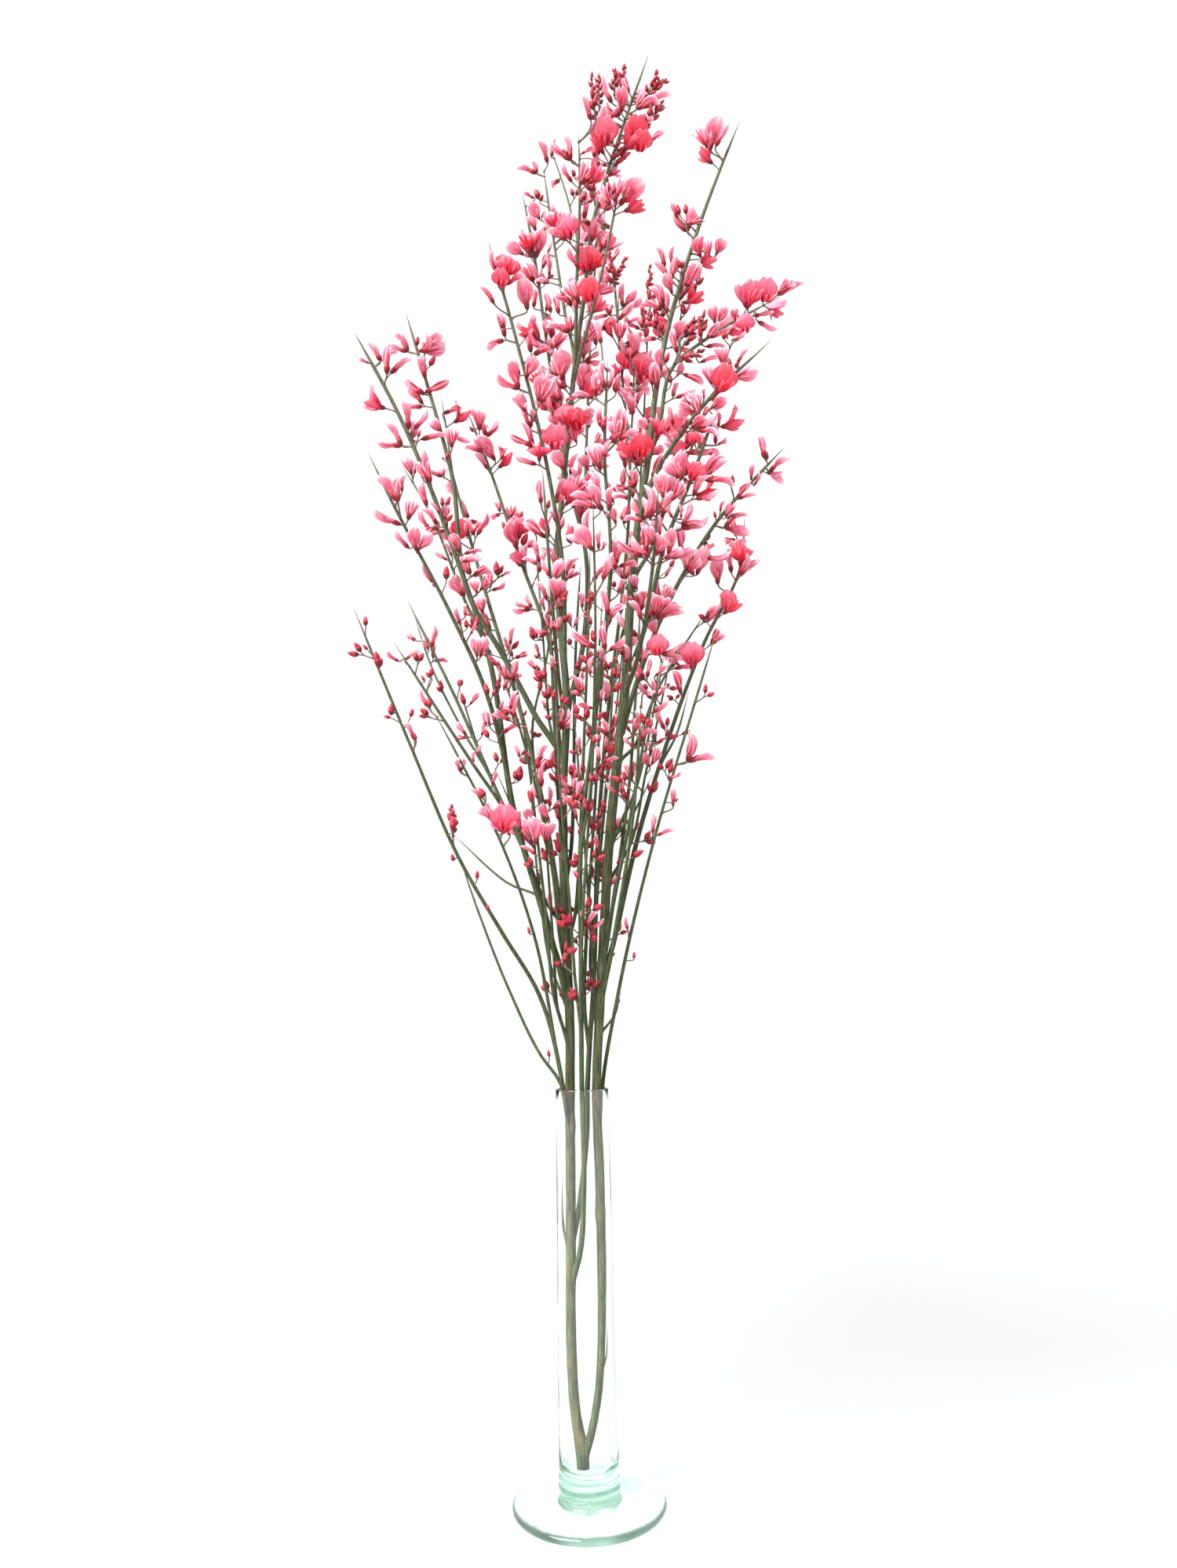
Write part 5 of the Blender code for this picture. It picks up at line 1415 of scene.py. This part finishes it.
def bark_finish():
    """Ridged green bark: pale lengthwise ridges, brown patches on old wood, grey-brown tips."""
    made, nodes, links, shader = nodes_of("ridged_bark")
    ridge, old = attribute(nodes, "ridge"), attribute(nodes, "old")
    tip, knot = attribute(nodes, "tip"), attribute(nodes, "knot")
    stretch = nodes.new("ShaderNodeMapping")
    stretch.inputs["Scale"].default_value = (1.0, 1.0, 0.12)
    links.new(nodes.new("ShaderNodeTexCoord").outputs["Object"], stretch.inputs["Vector"])
    fibre = noise_node(nodes, links, 900.0, 4.0, stretch.outputs[0])
    patches = noise_node(nodes, links, 90.0, 3.0)
    specks = noise_node(nodes, links, 700.0, 2.0)
    place = nodes.new("ShaderNodeSeparateXYZ")
    links.new(nodes.new("ShaderNodeTexCoord").outputs["Object"], place.inputs[0])
    height = spread_node(nodes, links, place.outputs["Z"], 0.38, 0.62, 0.0, 1.0)
    low_green = mix_node(nodes, links, ridge, (0.026, 0.044, 0.016), (0.092, 0.122, 0.052))
    high_green = mix_node(nodes, links, ridge, (0.058, 0.074, 0.038), (0.165, 0.185, 0.110))
    green = mix_node(nodes, links, height, low_green, high_green)
    dull = spread_node(nodes, links, patches, 0.45, 0.7, 0.0, 0.45)
    green = mix_node(nodes, links, dull, green, (0.095, 0.085, 0.038))
    brown = mix_node(nodes, links, fibre, (0.040, 0.032, 0.019), (0.155, 0.130, 0.082))
    moss = mix_node(nodes, links, fibre, (0.048, 0.058, 0.020), (0.130, 0.140, 0.060))
    wood = mix_node(nodes, links, spread_node(nodes, links, patches, 0.42, 0.58, 0.0, 1.0), brown, moss)
    colour = mix_node(nodes, links, math_node(nodes, links, "MULTIPLY", old, 0.85), green, wood)
    dry = mix_node(nodes, links, fibre, (0.13, 0.11, 0.08), (0.22, 0.19, 0.145))
    colour = mix_node(nodes, links, math_node(nodes, links, "MULTIPLY", tip, 0.75), colour, dry)
    scar = math_node(nodes, links, "MULTIPLY", knot, spread_node(nodes, links, specks, 0.4, 0.6, 0.2, 0.9))
    colour = mix_node(nodes, links, scar, colour, (0.20, 0.12, 0.07))
    fine = spread_node(nodes, links, fibre, 0.3, 0.7, 0.5, 1.45)
    tint = nodes.new("ShaderNodeCombineColor")
    for socket in tint.inputs[:3]:
        links.new(fine, socket)
    links.new(mix_node(nodes, links, 1.0, colour, tint.outputs[0], "MULTIPLY"), shader.inputs["Base Color"])
    links.new(spread_node(nodes, links, fibre, 0.3, 0.7, 0.58, 0.82), shader.inputs["Roughness"])
    shader.inputs["Specular IOR Level"].default_value = 0.25
    relief = math_node(nodes, links, "ADD", fibre, math_node(nodes, links, "MULTIPLY", specks, 0.5))
    bump(nodes, links, shader, relief, 0.0003, 0.6)
    return made


def glass_finish():
    """Pale green hand-made glass: clear, slightly wavy, greener where it is thick."""
    made, nodes, links, shader = nodes_of("green_glass")
    shader.inputs["Base Color"].default_value = (1.0, 1.0, 1.0, 1.0)
    shader.inputs["Transmission Weight"].default_value = 1.0
    shader.inputs["IOR"].default_value = 1.5
    flow = noise_node(nodes, links, 55.0, 2.0)
    place = nodes.new("ShaderNodeSeparateXYZ")
    links.new(nodes.new("ShaderNodeTexCoord").outputs["Object"], place.inputs[0])
    ground = spread_node(nodes, links, place.outputs["Z"], 0.0009, 0.0006, 0.0, 0.30)
    rough = spread_node(nodes, links, flow, 0.3, 0.7, 0.0, 0.03)
    links.new(math_node(nodes, links, "MAXIMUM", rough, ground), shader.inputs["Roughness"])
    bump(nodes, links, shader, flow, 0.0006, 0.35)
    tint = nodes.new("ShaderNodeVolumeAbsorption")
    tint.inputs["Color"].default_value = (0.47, 0.86, 0.66, 1.0)
    tint.inputs["Density"].default_value = 23.0
    clear = nodes.new("ShaderNodeBsdfTransparent")
    clear.inputs["Color"].default_value = (0.93, 0.98, 0.96, 1.0)
    pick = nodes.new("ShaderNodeMixShader")
    rays = nodes.new("ShaderNodeLightPath")
    output = nodes["Material Output"]
    links.new(rays.outputs["Is Shadow Ray"], pick.inputs[0])
    links.new(shader.outputs[0], pick.inputs[1])
    links.new(clear.outputs[0], pick.inputs[2])
    links.new(pick.outputs[0], output.inputs["Surface"])
    links.new(tint.outputs[0], output.inputs["Volume"])
    return made


# Vase


def arc(centre, radius, start, end, steps):
    points = []
    for i in range(steps + 1):
        angle = math.radians(start + (end - start) * i / steps)
        points.append((centre[0] + radius * math.cos(angle), centre[1] + radius * math.sin(angle)))
    return points


def vase_outline():
    """The outline (r, z) from the middle of the tube's floor, up inside, over the rim and down."""
    inner_base = BASE_RADIUS - BASE_WALL
    inner_rim = RIM_RADIUS - RIM_WALL
    rim = (RIM_RADIUS - RIM_WALL / 2, VASE_HEIGHT - RIM_WALL / 2)
    floor = (inner_base - FLOOR_ROUNDING, FLOOR_HEIGHT + FLOOR_ROUNDING)
    edge = (FOOT_RADIUS - FOOT_EDGE / 2, FOOT_EDGE / 2)
    points = [(0.0004, FLOOR_HEIGHT)]
    points += [(floor[0] * k / 5, FLOOR_HEIGHT) for k in range(1, 5)]
    points += arc(floor, FLOOR_ROUNDING, -90, 0, 6)
    for k in range(1, 24):
        share = k / 24
        z = floor[1] + (rim[1] - floor[1]) * share
        points.append((inner_base + (inner_rim - inner_base) * share, z))
    points += arc(rim, RIM_WALL / 2 * 1.15, 180, 0, 8)
    for k in range(1, 26):
        share = k / 26
        z = rim[1] + (2 * FLOOR_HEIGHT - rim[1]) * share
        points.append((RIM_RADIUS + (BASE_RADIUS - RIM_RADIUS) * share, z))
    top, low = 2 * FLOOR_HEIGHT, COLLAR_HEIGHT * 1.3
    for k in range(1, 26):
        z = top + (low - top) * k / 26
        points.append((BASE_RADIUS, z))
    points += [(BASE_RADIUS + 0.0001, 0.0068), (BASE_RADIUS + 0.0002, 0.0060), (0.0151, 0.0053)]
    points += [(0.0156, FOOT_NECK_HEIGHT), (0.0168, 0.0043), (0.024, 0.0041), (0.030, 0.0040)]
    points += arc(edge, FOOT_EDGE / 2, 90, -90, 10)
    points += [(0.030, 0.0), (0.020, 0.0), (0.010, 0.0), (0.0004, 0.0)]
    return points


def make_vase():
    """The turned vase with hand-made waviness, ripples round its solid base, and small bubbles."""
    outline = vase_outline()
    around = 112
    form = bmesh.new()
    rings = []
    for k, (r, z) in enumerate(outline):
        ring = []
        for i in range(around):
            angle = 2 * math.pi * i / around
            c, s = math.cos(angle), math.sin(angle)
            radius, height = r, z
            if 0.0 < z < VASE_HEIGHT:
                wavy = noise.noise(Vector((1.3 * c, 1.3 * s, z * 26 + (7 if r > 0.0143 else 0))))
                radius += 0.00014 * wavy * ramp(r, 0.002, 0.012)
            if BASE_RADIUS - 0.0001 < r < BASE_RADIUS + 0.0003 and z < 0.019:
                slant = 0.0009 * math.sin(angle + 0.6) + 0.0005 * math.sin(2 * angle)
                ripple = math.sin(2 * math.pi * (z + slant) / 0.0044)
                radius += 0.00045 * ripple * ramp(z, 0.019, 0.016) * ramp(z, 0.0070, 0.009)
            if z == FLOOR_HEIGHT:
                height += 0.0004 * noise.noise(Vector((150 * r * c, 150 * r * s, 3.0)))
            if z == 0.0:
                height += 0.0007 * ramp(r, 0.034, 0.018)
            if 0.03 < r and 0.0 < z < 0.005:
                height += 0.00012 * noise.noise(Vector((2.2 * c, 2.2 * s, 1.0)))
            ring.append(form.verts.new((radius * c, radius * s, max(height, 0.0))))
        rings.append(ring)
    for low, high in zip(rings, rings[1:]):
        for i in range(around):
            m = (i + 1) % around
            form.faces.new((low[i], high[i], high[m], low[m]))
    form.faces.new(rings[0])
    form.faces.new(rings[-1][::-1])
    bmesh.ops.recalc_face_normals(form, faces=form.faces)
    draw = random.Random(23)
    for _ in range(46):
        size = draw.uniform(0.00012, 0.00042)
        angle = draw.uniform(0, 2 * math.pi)
        if draw.random() < 0.5:
            r, z = draw.uniform(0.018, 0.036), draw.uniform(0.0010, 0.0030)
        else:
            r, z = draw.uniform(0.0, 0.0135), draw.uniform(0.002, 0.0150)
        ball = bmesh.ops.create_icosphere(form, subdivisions=2, radius=size)["verts"]
        stretch = draw.uniform(1.0, 1.8)
        for vert in ball:
            x, y = vert.co.x * stretch, vert.co.y
            vert.co.x = r * math.cos(angle) + x * -math.sin(angle) + y * math.cos(angle)
            vert.co.y = r * math.sin(angle) + x * math.cos(angle) + y * math.sin(angle)
            vert.co.z += z
        faces = {face for vert in ball for face in vert.link_faces}
        bmesh.ops.reverse_faces(form, faces=list(faces))
    mesh = bpy.data.meshes.new("blown_vase")
    form.to_mesh(mesh)
    form.free()
    mesh.shade_smooth()
    vase = bpy.data.objects.new("blown_vase", mesh)
    bpy.context.scene.collection.objects.link(vase)
    return vase


# Studio


def make_stage():
    scene = bpy.context.scene
    camera = bpy.data.cameras.new("camera")
    camera.lens, camera.sensor_width, camera.sensor_fit = LENS, SENSOR, "AUTO"
    camera.clip_start = 0.01
    shot = bpy.data.objects.new("camera", camera)
    shot.matrix_world = CAMERA
    scene.collection.objects.link(shot)
    scene.camera = shot
    scene.view_settings.view_transform = "Standard"
    world = bpy.data.worlds.new("studio")
    world.use_nodes = True
    nodes, links = world.node_tree.nodes, world.node_tree.links
    back = nodes["Background"]
    way = nodes.new("ShaderNodeSeparateXYZ")
    links.new(nodes.new("ShaderNodeTexCoord").outputs["Generated"], way.inputs[0])
    corner = math_node(nodes, links, "MULTIPLY", way.outputs["X"], way.outputs["Y"])
    corner = math_node(nodes, links, "ABSOLUTE", corner, 0.0)
    shade = spread_node(nodes, links, corner, 0.24, 0.44, 0.0, 1.0)
    sky = mix_node(nodes, links, shade, (0.985, 0.995, 1.0), (0.24, 0.28, 0.33))
    seen = nodes.new("ShaderNodeLightPath").outputs["Is Camera Ray"]
    sky = mix_node(nodes, links, seen, sky, (1.0, 1.0, 1.0))
    links.new(sky, back.inputs["Color"])
    back.inputs["Strength"].default_value = 1.03
    scene.world = world
    mesh = bpy.data.meshes.new("floor")
    reach = 30.0
    mesh.from_pydata(
        [(-reach, -reach, 0), (reach, -reach, 0), (reach, reach, 0), (-reach, reach, 0)], [], [(0, 1, 2, 3)]
    )
    floor = bpy.data.objects.new("floor", mesh)
    floor.location.z = -0.0001
    scene.collection.objects.link(floor)
    made, nodes, links, shader = nodes_of("pale_floor")
    shader.inputs["Base Color"].default_value = (0.455, 0.46, 0.465, 1.0)
    shader.inputs["Roughness"].default_value = 0.9
    mesh.materials.append(made)
    lamp = bpy.data.lights.new("key", "SUN")
    lamp.angle, lamp.energy = math.radians(38), 6.4
    light = bpy.data.objects.new("key", lamp)
    light.rotation_euler = Vector((0.62, 0.62, -0.95)).to_track_quat("-Z", "Y").to_euler()
    scene.collection.objects.link(light)


def main():
    make_stage()
    lines = all_lines()
    branch = make_branch(lines)
    branch.data.materials.append(bark_finish())
    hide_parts("branch")
    vase = make_vase()
    vase.data.materials.append(glass_finish())
    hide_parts("glass_vase")
    bush = Bush(lines)
    count = dict.fromkeys(KIND_OF_NODE, 0)
    for kind, twig, height, bearing in FLOWERS:
        count[kind] += 1
        bush.from_node(f"{kind}_{count[kind]:02d}", kind, twig, height, bearing)
    for row in SEEN.replace("\n", ",").split(","):
        if row.strip():
            kind, *places = row.split()
            bush.from_picture(kind, *map(float, places))
    for twig, low, high, kinds in RUNS:
        bush.run(twig, low, high, kinds)
    finishes = {
        kind: petal_finish(kind + "_petal", *colours) for kind, colours in PETAL_COLOURS.items()
    }
    for piece in bush.make(finishes) + [branch, vase]:
        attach(piece, "root")


main()
